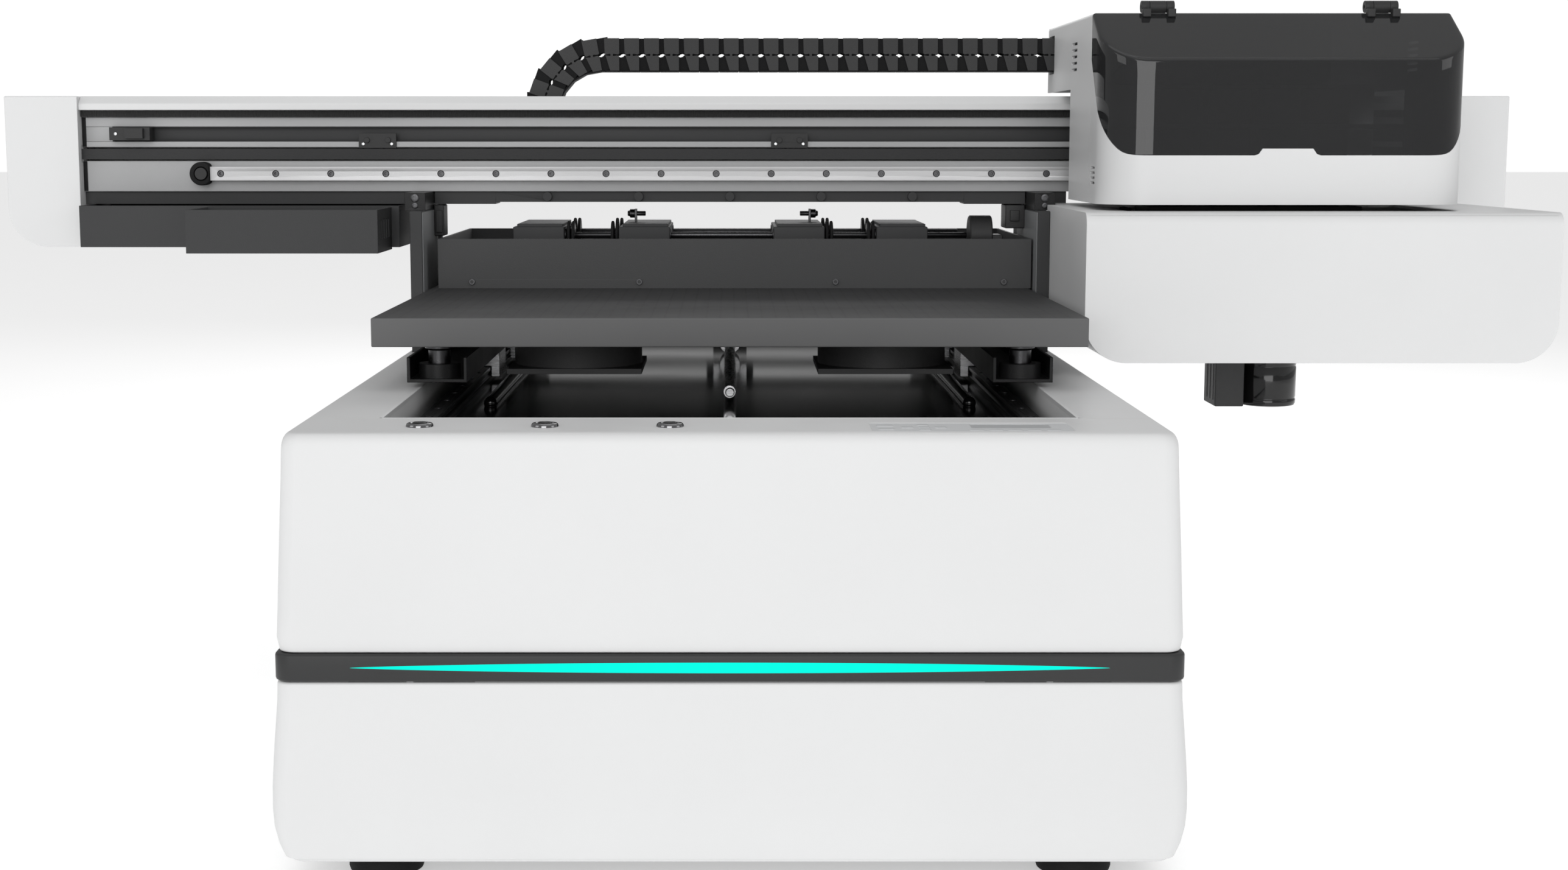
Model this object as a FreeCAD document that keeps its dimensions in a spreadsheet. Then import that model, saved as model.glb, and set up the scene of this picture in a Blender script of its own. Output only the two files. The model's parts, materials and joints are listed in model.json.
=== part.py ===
import FreeCAD, Part
import os
import Sketcher
from types import SimpleNamespace

# A floor-standing flatbed ultraviolet printer with a rotary attachment for round objects.
# Millimetres, +X to the operator's right, +Y away from the operator, +Z up.
# Sizes are measured from the cabinet's centre plane. The gantry reaches further to the right, so
# every sub-part is placed with the offset (shift_x, shift_y) that puts the middle of the outline on
# the origin. The floor is z = 0.

doc = FreeCAD.newDocument("flatbed_uv_printer")
sizes = doc.addObject("Spreadsheet::Sheet", "Sizes")

DIMENSIONS = {
    "shift_x": -29, "shift_y": -24,
    # cabinet: half widths of its outline from the floor up, the depth is wider by depth_extra
    "foot_half": 350, "skirt_half": 357.6, "ledge_half": 352.5, "band_half": 353.4, "lip_half": 350.5,
    "waist_half": 352, "shoulder_half": 345.5, "deck_half": 341.6, "depth_extra": 298,
    "base_low": 26, "skirt_low": 58, "skirt_high": 92, "ledge_low": 158, "ledge_top": 172,
    "band_low": 172.5, "band_top": 194.5, "lip_low": 195, "waist_z": 205, "shoulder_z": 357,
    "deck_z": 365, "skin": 3, "band_thick": 8, "strip_half": 305, "strip_half_tall": 4.75,
    "strip_z": 184, "strip_thick": 3, "seam": 0.6, "mid_y": 24,
    "open_half": 281, "open_front": -519, "open_back": 655, "liner_thick": 3,
    "well_z": 337, "pan_thick": 3, "rib_x": 228, "rib_radius": 6.3, "rib_front": -210, "rib_back": 600,
    "tube": 40, "frame_half": 300, "frame_front": -600, "frame_back": 648,
    "foot_radius": 30.5, "foot_x": 280, "foot_front": -553, "foot_back": 600, "stem_radius": 8,
    # operator controls on the front strip
    "button_y": -572, "button_first": -244, "button_pitch": 98.5, "bezel_radius": 11,
    "bezel_top": 368, "barrel_radius": 9, "barrel_low": 345, "cap_radius": 6, "cap_top": 368.4,
    "cap_low": 351, "cap_bore": 6.06,
    # long axis of the bed
    "yrail_x": 259, "rail_tall": 15, "yrail_front": -505,
    "yrail_back": 645, "hole_pitch": 60, "hole_radius": 2.25, "bore_radius": 3.75,
    "screw_radius": 6, "screw_z": 350, "screw_front": -210, "screw_back": 612,
    "block_half": 17, "block_long": 60, "block_a": 40, "block_b": 240, "channel_low": 370,
    "channel_in": 238.5, "channel_out": 293, "channel_top": 393, "channel_wall": 3,
    "channel_front": -305, "channel_back": 600, "nut_radius": 13, "nut_front": 300, "nut_back": 338,
    # bed
    "bed_half": 320, "bed_front": -335, "bed_back": 625, "bed_low": 405, "bed_top": 431,
    "post_x": 265.7, "post_radius": 10, "post_low": 380,
    "collar_radius": 19, "collar_tall": 13.4, "collar_bore": 10.06,
    "fan_x": 143, "fan_y": -218, "fan_half": 62, "fan_low": 375, "fan_flange": 5, "fan_radius": 60,
    "fan_bore": 56, "rotor_radius": 53, "hub_radius": 19,
    # gantry
    "beam_left": -707, "beam_right": 765, "beam_front": 130,
    "beam_back": 180, "beam_low": 532.5, "beam_top": 613, "cover_low": 620.5, "cover_top": 635.5,
    "crease_z": 627.4, "slot_low": 586.7, "slot_top": 602.7, "slot_deep": 8,
    "beltway_low": 565.8, "beltway_top": 580.5, "xrail_left": -566.5, "xrail_right": 745,
    "xrail_z": 552, "xrail_front": 120, "first_hole": -555,
    "belt_low": 567.3, "belt_top": 579, "belt_thick": 1.5, "pulley_radius": 12, "pulley_y": 140,
    "pulley_left": -746, "pulley_right": 804, "flange_radius": 15,
    "bumper_radius": 12.75, "bumper_left": -575, "bumper_right": 755, "small_bumper": 9,
    "cap_wide": 79, "cap_front": 114, "cap_back": 244, "cap_low_z": 473,
    "cap_corner": 40, "cap_wall": 3,
    # maintenance housing
    "house_corner": 40, "bottle_radius": 29, "bottle_x": 553, "bottle_y": -40,
    "bottle_low": 318, "bottle_top": 377, "neck_radius": 12,
    # carriage and hood
    "hood_left": 360, "hood_right": 716, "hood_front": -153, "hood_back": 226, "hood_low": 526,
    "hood_top": 713, "brow_y": -72, "brow_z": 665, "step_y": 60, "step_z": 641,
    "sill_z": 573.5, "climb_y": -147, "cheek_z": 668, "seam": 0.4,
    "notch_left": 508.5, "notch_right": 567.5, "notch_tall": 6.5,
    "hood_wall": 3, "hood_corner": 45, "hinge_y": -67, "hinge_z": 719.5, "knuckle": 6,
    "pin_radius": 2, "hinge_half": 16.3,
    # cable chain
    "chain_front": 182.4, "chain_back": 216.6, "chain_half": 18.3, "chain_high": 682,
    "chain_low_z": 554, "bend_radius": 64, "bend_x": -145, "link": 22.1,
    "link_gap": 1.6,
    # rotary attachment
    "shaft_a": 150, "shaft_b": 250, "shaft_z": 484, "roll_shaft": 3.4,
    "roll_left": -239.5, "roll_right": 262, "wheel_radius": 16, "wheel_thick": 4,
    "tower_front": 128, "tower_back": 274, "tower_foot": 434, "tower_top": 494, "tower_lid": 497,
    "clamp_y": 200, "clamp_z": 506.4, "clamp_top": 511.6,
}

# left, right, front, back, low and top of every plain block
BLOCKS = {
    "inlet": (196, 226, 661, 679, 96, 126), "panel": (108, 270, -604, -549, 363.8, 364.9),
    "bearing": (-22, 22, 590, 602, 337, 366),
    "ymotor": (-18, 18, 612, 650, 332, 368), "upright": (325, 338, 37, 200, 230, 514),
    "bracket": (325, 347, 65, 200, 514, 532.5), "leg": (325, 341, 200, 236, 481, 530),
    "felt": (-707, 765, 124, 178, 613, 620.5), "slide_bar": (-257, 257, 134, 160, 521, 532.5),
    "limit": (-674, -630, 117, 138, 588, 602), "limit_head": (-656, -636, 110, 117, 590, 601),
    "clip_a": (-405, -364, 127.4, 130, 579.8, 595.6), "clip_b": (45, 85, 127.4, 130, 579.8, 595.6),
    "xmotor": (784, 824, 120, 160, 505, 556), "tray": (-699, -355, 80, 200, 474, 518.5),
    "shield": (-562, -363.5, -15, 80, 472, 517), "house": (338, 790, -200, 128, 377, 520),
    "holder": (494, 523.5, -66, -14, 319, 377),
    "caps": (430, 646, -34, 54, 470, 521), "wiper": (396, 402, -80, -44, 470, 521),
    "carrier": (385, 691, 94, 102, 534, 641), "bridge": (385, 691, 94, 221, 641, 647),
    "shelf": (385, 691, -60, 94, 600, 604), "head_plate": (385, 691, -60, 94, 560, 566),
    "board": (440, 640, 82, 84, 650, 706), "rot_box": (-312, 322, 62, 352, 431, 483.6),
    "motor_block": (266, 300, 130, 170, 434, 486), "chain_foot": (383, 396, 184, 215, 647, 700),
    "trough": (-690, 500, 180, 219.5, 533, 574), "plate_nut": (-238.5, 238.5, 290, 348, 370, 376),
    "plate_back": (-238.5, 238.5, 520, 580, 370, 376), "lift_drive": (-30, 30, 528, 572, 376, 396),
}
for name, extents in BLOCKS.items():
    for word, value in zip(("left", "right", "front", "back", "low", "top"), extents):
        DIMENSIONS[name + "_" + word] = value


class Size:
    """A length that carries its value and the sheet expression that drives it."""

    def __init__(self, value, text):
        self.value = float(value)
        self.text = text

    def __add__(self, other):
        return Size(self.value + val(other), "(%s + %s)" % (self.text, txt(other)))

    def __sub__(self, other):
        return Size(self.value - val(other), "(%s - %s)" % (self.text, txt(other)))

    def __mul__(self, factor):
        return Size(self.value * factor, "(%s * %r)" % (self.text, factor))

    __rmul__ = __mul__

    def __rsub__(self, other):
        return Size(other - self.value, "(%r - %s)" % (other, self.text))

    def __radd__(self, other):
        return Size(self.value + other, "(%r + %s)" % (other, self.text))

    def __truediv__(self, factor):
        return Size(self.value / factor, "(%s / %r)" % (self.text, factor))

    def __neg__(self):
        return Size(-self.value, "(0 - %s)" % self.text)


def val(size):
    return size.value if isinstance(size, Size) else float(size)


def txt(size):
    return size.text if isinstance(size, Size) else "(%r)" % float(size)


for row, (alias, value) in enumerate(DIMENSIONS.items(), start=1):
    sizes.set("A%d" % row, alias)
    sizes.set("B%d" % row, str(value))
    sizes.setAlias("B%d" % row, alias)
doc.recompute()
d = SimpleNamespace(**{alias: Size(value, "Sizes." + alias) for alias, value in DIMENSIONS.items()})
nodes = {}


def bind(obj, **properties):
    for name, size in properties.items():
        obj.setExpression(name, txt(size))


def place(obj, x=0, y=0, z=0):
    """Puts an object at a point given in cabinet coordinates."""
    for letter, size in (("x", d.shift_x + x), ("y", d.shift_y + y), ("z", z)):
        obj.setExpression("Placement.Base." + letter, txt(size))


def span(a, b):
    return (a, b) if val(a) < val(b) else (b, a)


def block(name, xs, ys, zs):
    """A box between two coordinates along each axis."""
    obj = doc.addObject("Part::Box", name)
    (x0, x1), (y0, y1), (z0, z1) = span(*xs), span(*ys), span(*zs)
    bind(obj, Length=as_size(x1) - x0, Width=as_size(y1) - y0, Height=as_size(z1) - z0)
    place(obj, x0, y0, z0)
    return obj


def corners(xs, ys):
    """The four corners of a rectangle, in order."""
    return [(xs[0], ys[0]), (xs[1], ys[0]), (xs[1], ys[1]), (xs[0], ys[1])]


def as_size(size):
    return size if isinstance(size, Size) else Size(size, "(%r)" % float(size))


def extents(key):
    """The three spans of a block in the table."""
    pick = [getattr(d, key + "_" + w) for w in ("left", "right", "front", "back", "low", "top")]
    return (pick[0], pick[1]), (pick[2], pick[3]), (pick[4], pick[5])


def table_block(key, name=None, side=1):
    """A block from the table. side = -1 gives its mirror image on the left."""
    (x0, x1), ys, zs = extents(key)
    xs = (x0, x1) if side > 0 else (-x1, -x0)
    return block(name or key, xs, ys, zs)


TURN = {
    "x": FreeCAD.Rotation(FreeCAD.Vector(0, 1, 0), 90),
    "y": FreeCAD.Rotation(FreeCAD.Vector(1, 0, 0), -90),
    "z": FreeCAD.Rotation(),
}


def rod(name, axis, radius, start, end, u, v):
    """A cylinder along one axis from start to end. u and v are its other two coordinates."""
    obj = doc.addObject("Part::Cylinder", name)
    obj.Placement = FreeCAD.Placement(FreeCAD.Vector(), TURN[axis])
    bind(obj, Radius=radius, Height=as_size(end) - start)
    place(obj, *{"x": (start, u, v), "y": (u, start, v), "z": (u, v, start)}[axis])
    return obj


def fuse(name, *pieces):
    if len(pieces) == 1:
        return pieces[0]
    obj = doc.addObject("Part::MultiFuse", name)
    obj.Shapes = list(pieces)
    return obj


def cut(name, base, *tools):
    obj = doc.addObject("Part::Cut", name)
    obj.Base, obj.Tool = base, fuse(name + "_tools", *tools)
    return obj


def common(name, *pieces):
    obj = doc.addObject("Part::MultiCommon", name)
    obj.Shapes = list(pieces)
    return obj


def group(name, *pieces):
    """Separate solids that share one node."""
    obj = doc.addObject("Part::Compound", name)
    obj.Links = list(pieces)
    return obj


def node(name, obj):
    obj.Label = name
    nodes[name] = obj
    return obj


def outline(name, plane, points, start, length, kind="Pad"):
    """A padded outline between start and start + length along the plane's own axis.

    The sketch's two axes are X and Y, X and Z, or Y and Z. Every corner is held by two distances
    from the origin that are bound to the sheet."""
    body = doc.addObject("PartDesign::Body", name)
    sketch = body.newObject("Sketcher::SketchObject", name + "_sketch")
    sketch.AttachmentSupport = [([f for f in body.Origin.OriginFeatures if f.Role == plane][0], "")]
    sketch.MapMode = "FlatFace"
    corners = [FreeCAD.Vector(val(a), val(b), 0) for a, b in points]
    count = len(corners)
    for i in range(count):
        sketch.addGeometry(Part.LineSegment(corners[i], corners[(i + 1) % count]), False)
    for i in range(count):
        sketch.addConstraint(Sketcher.Constraint("Coincident", i, 2, (i + 1) % count, 1))
    for i, point in enumerate(points):
        for kind_of, size, axis in (("DistanceX", point[0], -2), ("DistanceY", point[1], -1)):
            if val(size) == 0:
                sketch.addConstraint(Sketcher.Constraint("PointOnObject", i, 1, axis))
                continue
            index = sketch.addConstraint(Sketcher.Constraint(kind_of, -1, 1, i, 1, val(size)))
            sketch.setExpression("Constraints[%d]" % index, txt(size))
    if kind == "Turn":
        feature = body.newObject("PartDesign::Revolution", name + "_turn")
        feature.Profile = sketch
        feature.ReferenceAxis = (sketch, ["V_Axis"])
        feature.Angle = 360
        place(body, *start)
    else:
        feature = body.newObject("PartDesign::Pad", name + "_pad")
        feature.Profile = sketch
        feature.Reversed = plane == "XZ_Plane"
        bind(feature, Length=length)
        place(body, *{"XY_Plane": (0, 0, start), "XZ_Plane": (0, start, 0), "YZ_Plane": (start, 0, 0)}[plane])
    doc.recompute()
    return body


def rounded(body, radius, test):
    """Fillets the straight edges of a body that the test picks by their two end points."""
    tip = body.Tip
    names = []
    for i, edge in enumerate(tip.Shape.Edges, start=1):
        if len(edge.Vertexes) == 2 and test(edge.Vertexes[0].Point, edge.Vertexes[1].Point):
            names.append("Edge%d" % i)
    if not names:
        raise ValueError("nothing to round on " + body.Name)
    fillet = body.newObject("PartDesign::Fillet", body.Name + "_round%d" % len(body.Group))
    fillet.Base = (tip, names)
    bind(fillet, Radius=radius)
    body.Tip = fillet
    doc.recompute()
    return body


def upright_edge(at_x=None, at_y=None, tolerance=0.5):
    """Picks edges along Z that stand at the given coordinates."""
    def test(a, b):
        if abs(a.x - b.x) > 1e-6 or abs(a.y - b.y) > 1e-6:
            return False
        return all(want is None or min(abs(have - val(w)) for w in want) < tolerance
                   for want, have in ((at_x, a.x), (at_y, a.y)))
    return test


# ---------------------------------------------------------------- cabinet skins

def mirrored(points):
    """Closes a half outline given from the bottom up with its mirror image."""
    return points + [(-a, b) for a, b in reversed(points)]


def hull(name, half_points, inset, low_shift, top_shift):
    """The cabinet's outline swept both ways, drawn in by inset."""
    last = len(half_points) - 1
    shifts = [low_shift if i == 0 else top_shift if i == last else 0 for i in range(last + 1)]
    wide = mirrored([(a - inset, b + s) for (a, b), s in zip(half_points, shifts)])
    deep = [(a + d.depth_extra, b) for a, b in wide[:last + 1]]
    deep = [(a + d.mid_y, b) for a, b in deep] + [(d.mid_y - a, b) for a, b in reversed(deep)]
    length = (d.skirt_half + d.depth_extra) * 2 + 40
    across = outline(name + "_wide", "XZ_Plane", wide, d.mid_y - length / 2, length)
    along = outline(name + "_deep", "YZ_Plane", deep, -d.skirt_half - 20, d.skirt_half * 2 + 40)
    return common(name, across, along)


upper = [(d.lip_half, d.lip_low), (d.waist_half, d.waist_z), (d.shoulder_half, d.shoulder_z),
         (d.deck_half, d.deck_z)]
lower = [(d.foot_half, d.base_low), (d.skirt_half, d.skirt_low), (d.skirt_half, d.skirt_high),
         (d.ledge_half, d.ledge_low), (d.ledge_half, d.ledge_top)]
belt_line = [(d.band_half, d.band_low), (d.band_half, d.band_top)]

upper_shell = cut("upper_shell", hull("upper_out", upper, 0, 0, 0),
                  hull("upper_in", upper, d.skin, -5, -d.skin),
                  block("deck_hole", (-d.open_half - d.liner_thick, d.open_half + d.liner_thick),
                        (d.open_front - d.liner_thick, d.open_back + d.liner_thick), (300, 400)),
                  *[block("upright_slot", (s * (d.upright_left - 0.4), s * (d.upright_right + 0.4)),
                          (d.upright_front - 0.5, d.upright_back + 0.5), (300, 400)) for s in (-1, 1)])
lower_shell = cut("lower_shell", hull("lower_out", lower, 0, 0, 0), hull("lower_in", lower, d.skin, -5, 5))

split_y = d.open_front - d.liner_thick
front_zone = block("front_zone", (-400, 400), (-700, split_y - d.seam), (190, 380))
cover = common("cover_raw", upper_shell, front_zone)
cap_holes = [rod("cap_hole", "z", d.barrel_radius + 0.1, 340, 380, d.button_first + d.button_pitch * i,
                 d.button_y) for i in range(3)]
(px, py, pz) = extents("panel")
panel_pocket = block("panel_pocket", (px[0] - 0.3, px[1] + 0.3), (py[0] - 0.3, py[1] + 0.3), (pz[0], 380))
node("front_upper_cover", cut("front_cover", cover, panel_pocket, *cap_holes))

rest_zone = block("rest_zone", (-400, 400), (split_y, 800), (190, 380))
seams = [block("seam_line", (s * 250, s * 400), (d.open_back + 1, d.open_back + 1 + d.seam), (190, 380))
         for s in (-1, 1)]
side_panels = cut("upper_side_panels", common("rest_raw", upper_shell, rest_zone), *seams)
inlet_x, inlet_y, inlet_z = extents("inlet")
inlet_hole = block("inlet_hole", inlet_x, (600, 700), inlet_z)
lower_seams = [block("lower_seam", (s * 330, s * 400), (d.frame_front, d.frame_front + d.seam), (0, 180))
               for s in (-1, 1)]
node("lower_cover", cut("lower_skin", lower_shell, inlet_hole, *lower_seams))

band = cut("band_ring", hull("band_out", belt_line, 0, 0, 0), hull("band_in", belt_line, d.band_thick, -2, 2))
front_face = d.mid_y - d.band_half - d.depth_extra


def lens(name, grow, depth):
    """A long pointed strip: its half height falls with the square of the distance from the middle."""
    steps = 12
    pts = []
    for sign in (-1, 1):
        for i in range(steps):
            t = (-1 + 2 * i / steps) * -sign
            pts.append((d.strip_half * -t + grow * -t,
                        d.strip_z + (d.strip_half_tall + grow) * (sign * (1 - t * t))))
    return outline(name, "XZ_Plane", pts, front_face - 0.6, depth)


node("light_band", cut("band", band, lens("strip_seat", 0.15, d.strip_thick + 0.6)))
node("light_strip", lens("strip", 0, d.strip_thick))

# ---------------------------------------------------------------- frame, feet, inlet

pieces = []
for s in (-1, 1):
    side = (s * (d.frame_half - d.tube), s * d.frame_half)
    long_way = (d.frame_front, d.frame_back)
    pieces.append(block("floor_rail", side, long_way, (40, 80)))
    pieces.append(block("top_rail", (s * (d.frame_half - 55), s * d.frame_half), long_way, (294, 334)))
    for y0 in (d.frame_front, d.frame_back - d.tube):
        pieces.append(block("post", side, (y0, y0 + d.tube), (70, 300)))
    pieces.append(block("upright_pad", (s * (d.frame_half - 10), s * d.upright_left),
                        (d.upright_front + 15, d.upright_back - 15), (234, 330)))
cross_x = (d.tube - d.frame_half, d.frame_half - d.tube)
for y0 in (d.frame_front, d.frame_back - d.tube, as_size(0)):
    pieces.append(block("floor_cross", cross_x, (y0, y0 + d.tube), (40, 80)))
for y0 in (d.frame_front, as_size(80)):
    pieces.append(block("top_cross", cross_x, (y0, y0 + d.tube), (294, 330)))
pieces.append(block("motor_cross", cross_x,
                    (d.frame_back - 50, d.frame_back - 10), (254, 294)))
pieces.append(block("motor_stand", (-18, 18), (d.ymotor_front, d.ymotor_back - 12), (290, d.ymotor_low)))
node("base_frame", fuse("frame_tubes", *pieces))

feet = []
for s in (-1, 1):
    for y in (d.foot_front, d.foot_back):
        pad = outline("foot", "XZ_Plane",
                      [(0, 0), (d.foot_radius - 3, 0), (d.foot_radius, 4), (d.foot_radius, 13),
                       (d.foot_radius - 5, 20), (d.stem_radius + 6, 22), (d.stem_radius, 26),
                       (d.stem_radius, 40), (0, 40)], (d.foot_x * s, y, 0), None, "Turn")
        feet.append(pad)
node("levelling_feet", group("feet", *feet))

socket = block("inlet_socket", (inlet_x[0] + 5, inlet_x[1] - 5), (inlet_y[1] - 12, inlet_y[1] + 5),
               (inlet_z[0] + 7, inlet_z[1] - 7))
pins = [rod("inlet_pin", "y", 1.6, inlet_y[1] - 12.5, inlet_y[1] - 2, inlet_x[0] + 15 + dx,
            inlet_z[0] + 15 + dz) for dx, dz in ((-5, -1), (0, 3), (5, -1))]
node("power_inlet", fuse("inlet", cut("inlet_shell", table_block("inlet"), socket), *pins))

# ---------------------------------------------------------------- well, rails and screw

pan = block("pan", (-d.open_half, d.open_half), (d.open_front, 600), (d.well_z - d.pan_thick, d.well_z))
ribs = []
for s in (-1, 1):
    ribs.append(rod("rib", "y", d.rib_radius, d.rib_front, d.rib_back, d.rib_x * s, d.well_z + 3))
    tip = doc.addObject("Part::Sphere", "rib_tip")
    bind(tip, Radius=d.rib_radius)
    place(tip, d.rib_x * s, d.rib_front, d.well_z + 3)
    ribs.append(tip)
node("well_floor", fuse("floor_pan", pan, *ribs))

liner = block("liner_out", (-d.open_half - d.liner_thick, d.open_half + d.liner_thick),
              (d.open_front - d.liner_thick, d.open_back + d.liner_thick), (d.well_z - 3, d.deck_z))
liner_in = block("liner_in", (-d.open_half, d.open_half), (d.open_front, d.open_back), (300, 400))
node("upper_panels", group("panels_and_liner", side_panels, cut("liner", liner, liner_in)))


def rail_profile(centre, base, up):
    """Half widths of a profiled rail with one running groove each side. up = 1 or -1 along its height."""
    steps = [(7.5, 0), (7.5, 5.5), (5.2, 7.2), (5.2, 10.0), (7.5, 11.7), (7.5, 15)]
    half = [(centre + w, as_size(base) + h * up) for w, h in steps]
    return half + [(centre - w, as_size(base) + h * up) for w, h in reversed(steps)]


rails = []
for s in (-1, 1):
    rail = outline("y_rail", "XZ_Plane", rail_profile(d.yrail_x * s, d.well_z, 1), d.yrail_front,
                   d.yrail_back - d.yrail_front)
    holes = [rod("rail_bore", "z", d.bore_radius, d.well_z + 9.7, d.well_z + 16, d.yrail_x * s,
                 d.yrail_front + 35 + d.hole_pitch * i) for i in range(19)]
    rails.append(cut("y_rail_cut", rail, *holes))
node("y_rails", group("two_y_rails", *rails))

screw = [rod("screw_thread", "y", d.screw_radius, d.screw_front + 6, d.screw_back, 0, d.screw_z)]
screw.append(rod("screw_nose", "y", d.screw_radius - 1.5, d.screw_front, d.screw_front + 7, 0, d.screw_z))
node("y_screw", fuse("screw", *screw))

screw_bore = rod("bearing_bore", "y", d.screw_radius + 0.06,
                 d.bearing_front - 1, d.ymotor_front - 0.1, 0, d.screw_z)
bearing = cut("bearing_block", table_block("bearing"), screw_bore)
y_motor = fuse("y_motor", table_block("ymotor"))
x_motor = fuse("x_motor_case", table_block("xmotor"),
               rod("x_motor_boss", "z", 11, d.xmotor_top, d.xmotor_top + 2, d.pulley_right, d.pulley_y))
node("drive_motors", group("motors", y_motor, x_motor, bearing))

# ---------------------------------------------------------------- operator controls

bezels, caps = [], []
for i, name in enumerate(("left", "middle", "right")):
    x = d.button_first + d.button_pitch * i
    ring = outline("bezel_ring", "XZ_Plane",
                   [(d.cap_bore, d.barrel_low + 4), (d.cap_bore, d.bezel_top),
                    (d.bezel_radius - 2, d.bezel_top),
                    (d.bezel_radius, d.deck_z + 1), (d.bezel_radius, d.deck_z), (d.barrel_radius, d.deck_z),
                    (d.barrel_radius, d.barrel_low), (0, d.barrel_low), (0, d.barrel_low + 2),
                    (d.cap_bore - 2, d.barrel_low + 2)], (x, d.button_y, 0), None, "Turn")
    bezels.append(ring)
    cap = outline("cap_" + name, "XZ_Plane",
                  [(0, d.cap_low), (d.cap_radius, d.cap_low), (d.cap_radius, d.cap_top - 1.2),
                   (d.cap_radius - 1.2, d.cap_top), (0, d.cap_top)], (x, d.button_y, 0), None, "Turn")
    node("button_cap_" + name, cap)
node("button_bezels", group("bezels", *bezels))
panel = rounded(outline("panel_plate", "XY_Plane", corners(px, py), pz[0], pz[1] - pz[0]),
                as_size(6), upright_edge(px, py))
node("control_panel", panel)

# ---------------------------------------------------------------- gantry

node("uprights", group("two_uprights", *[table_block("upright", "upright_plate", s) for s in (-1, 1)]))
brackets = []
for s in (-1, 1):
    body = table_block("bracket", "bracket_block", s)
    holes = [rod("bracket_hole", "y", r, 60, 90, s * 336, z) for r, z in ((2.3, 527), (1.7, 519))]
    brackets.append(cut("beam_bracket", body, *holes))
    leg = table_block("leg", "leg_block", s)
    brackets.append(fuse("gantry_leg", leg, rod("leg_stud", "z", 4, 446, 481, s * 333, 215)))
node("gantry_brackets", group("brackets", *brackets))

groove = (d.beam_front + d.slot_deep, d.beam_front)
profile = [(d.beam_front, d.beam_low), (d.beam_back, d.beam_low), (d.beam_back, d.beam_top),
           (d.beam_front, d.beam_top), (d.beam_front, d.slot_top), (groove[0], d.slot_top),
           (groove[0], d.slot_low), (d.beam_front, d.slot_low)]
beam = outline("beam", "YZ_Plane", profile, d.beam_left, d.beam_right - d.beam_left)
everything_x = (d.beam_left - 5, d.beam_right + 5)
core = block("beam_core", everything_x, (d.beam_front + 5, d.beam_back - 5), (d.beam_low + 5, d.slot_low - 4))
beltway = block("beltway", everything_x, (d.beam_front - 1, d.beam_front + 6), (d.beltway_low, d.beltway_top))
node("gantry_beam", cut("beam_cut", beam, core, beltway))
top = outline("top_cover", "YZ_Plane",
              [(d.beam_back, d.cover_low), (d.beam_back, d.cover_top), (127, d.cover_top),
               (118, d.crease_z), (118, d.cover_low)],
              d.beam_left, d.beam_right - d.beam_left)
node("beam_top_cover", top)
node("felt_strip", table_block("felt", "felt_block"))
flange_spans = ((d.beam_left, -d.bracket_right - 1), (-324, d.slide_bar_left),
                (d.slide_bar_right, 324), (d.bracket_right + 1, 369))
flanges = [block("flange", xs, (134, d.beam_back), (518.8, d.beam_low)) for xs in flange_spans]
bosses = [rod("sensor_boss", "y", 5, 128, 135, x, 527) for x in (-200, -100, 0, 100, 200)]
bar = fuse("sensor_bar", table_block("slide_bar"), *bosses)
node("beam_lower_flange", group("lower_flanges", bar, *flanges))

rail_points = [(d.beam_front, 7.5), (d.beam_front - 3, 7.5), (d.beam_front - 4.2, 5.2),
               (d.beam_front - 6.2, 5.2), (d.beam_front - 7.4, 7.5), (d.xrail_front, 7.5)]
rail_outline = ([(y, d.xrail_z + h) for y, h in rail_points]
                + [(y, d.xrail_z - h) for y, h in reversed(rail_points)])
x_rail = outline("x_rail_bar", "YZ_Plane", rail_outline, d.xrail_left, d.xrail_right - d.xrail_left)
holes = []
for i in range(22):
    x = d.first_hole + d.hole_pitch * i
    holes.append(rod("x_bore", "y", d.bore_radius, d.xrail_front - 1, d.xrail_front + 5.3, x, d.xrail_z))
    holes.append(rod("x_hole", "y", d.hole_radius, d.xrail_front - 1, d.beam_front - 0.8, x, d.xrail_z))
node("x_rail", cut("x_rail_cut", x_rail, *holes))

left_bumper = cut("left_bumper",
                  rod("bumper_ring", "y", d.bumper_radius, 114, d.beam_front, d.bumper_left, d.xrail_z),
                  block("bumper_flat", (d.xrail_left - 0.5, -500), (100, 140), (500, 600)),
                  rod("bumper_bore", "y", 7.5, 100, 118, d.bumper_left, d.xrail_z))
right_bumper = cut("right_bumper",
                   rod("bumper_disc", "y", d.small_bumper, 114, d.beam_front, d.bumper_right, d.xrail_z),
                   rod("bumper_bore_b", "y", 4.5, 100, 118, d.bumper_right, d.xrail_z))
node("rail_bumpers", group("bumpers", left_bumper, right_bumper))

clips = [fuse("limit_sensor", table_block("limit"), table_block("limit_head"))]
for key in ("clip_a", "clip_b"):
    (x0, x1), ys, (z0, z1) = extents(key)
    heads = [rod("clip_screw", "y", 3, 125.4, 127.4, x, (z0 + z1) / 2 + 0.5) for x in (x0 + 9, x1 - 9)]
    clips.append(fuse("clip_" + key, table_block(key, key + "_plate"), *heads))
for x, y, r in ((d.bumper_left, 112.5, 6.5), (d.bumper_right, 113, 4)):
    clips.append(rod("bumper_screw", "y", r, y, 118, x, d.xrail_z))
node("beam_clips", group("clips", *clips))


def racetrack(name, radius, low, high):
    """The outline of a closed belt round both pulleys, as a solid."""
    ends = [rod(name + "_end", "z", radius, low, high, x, d.pulley_y)
            for x in (d.pulley_left, d.pulley_right)]
    mid = block(name + "_mid", (d.pulley_left, d.pulley_right), (d.pulley_y - radius, d.pulley_y + radius),
                (low, high))
    return fuse(name, mid, *ends)


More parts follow.
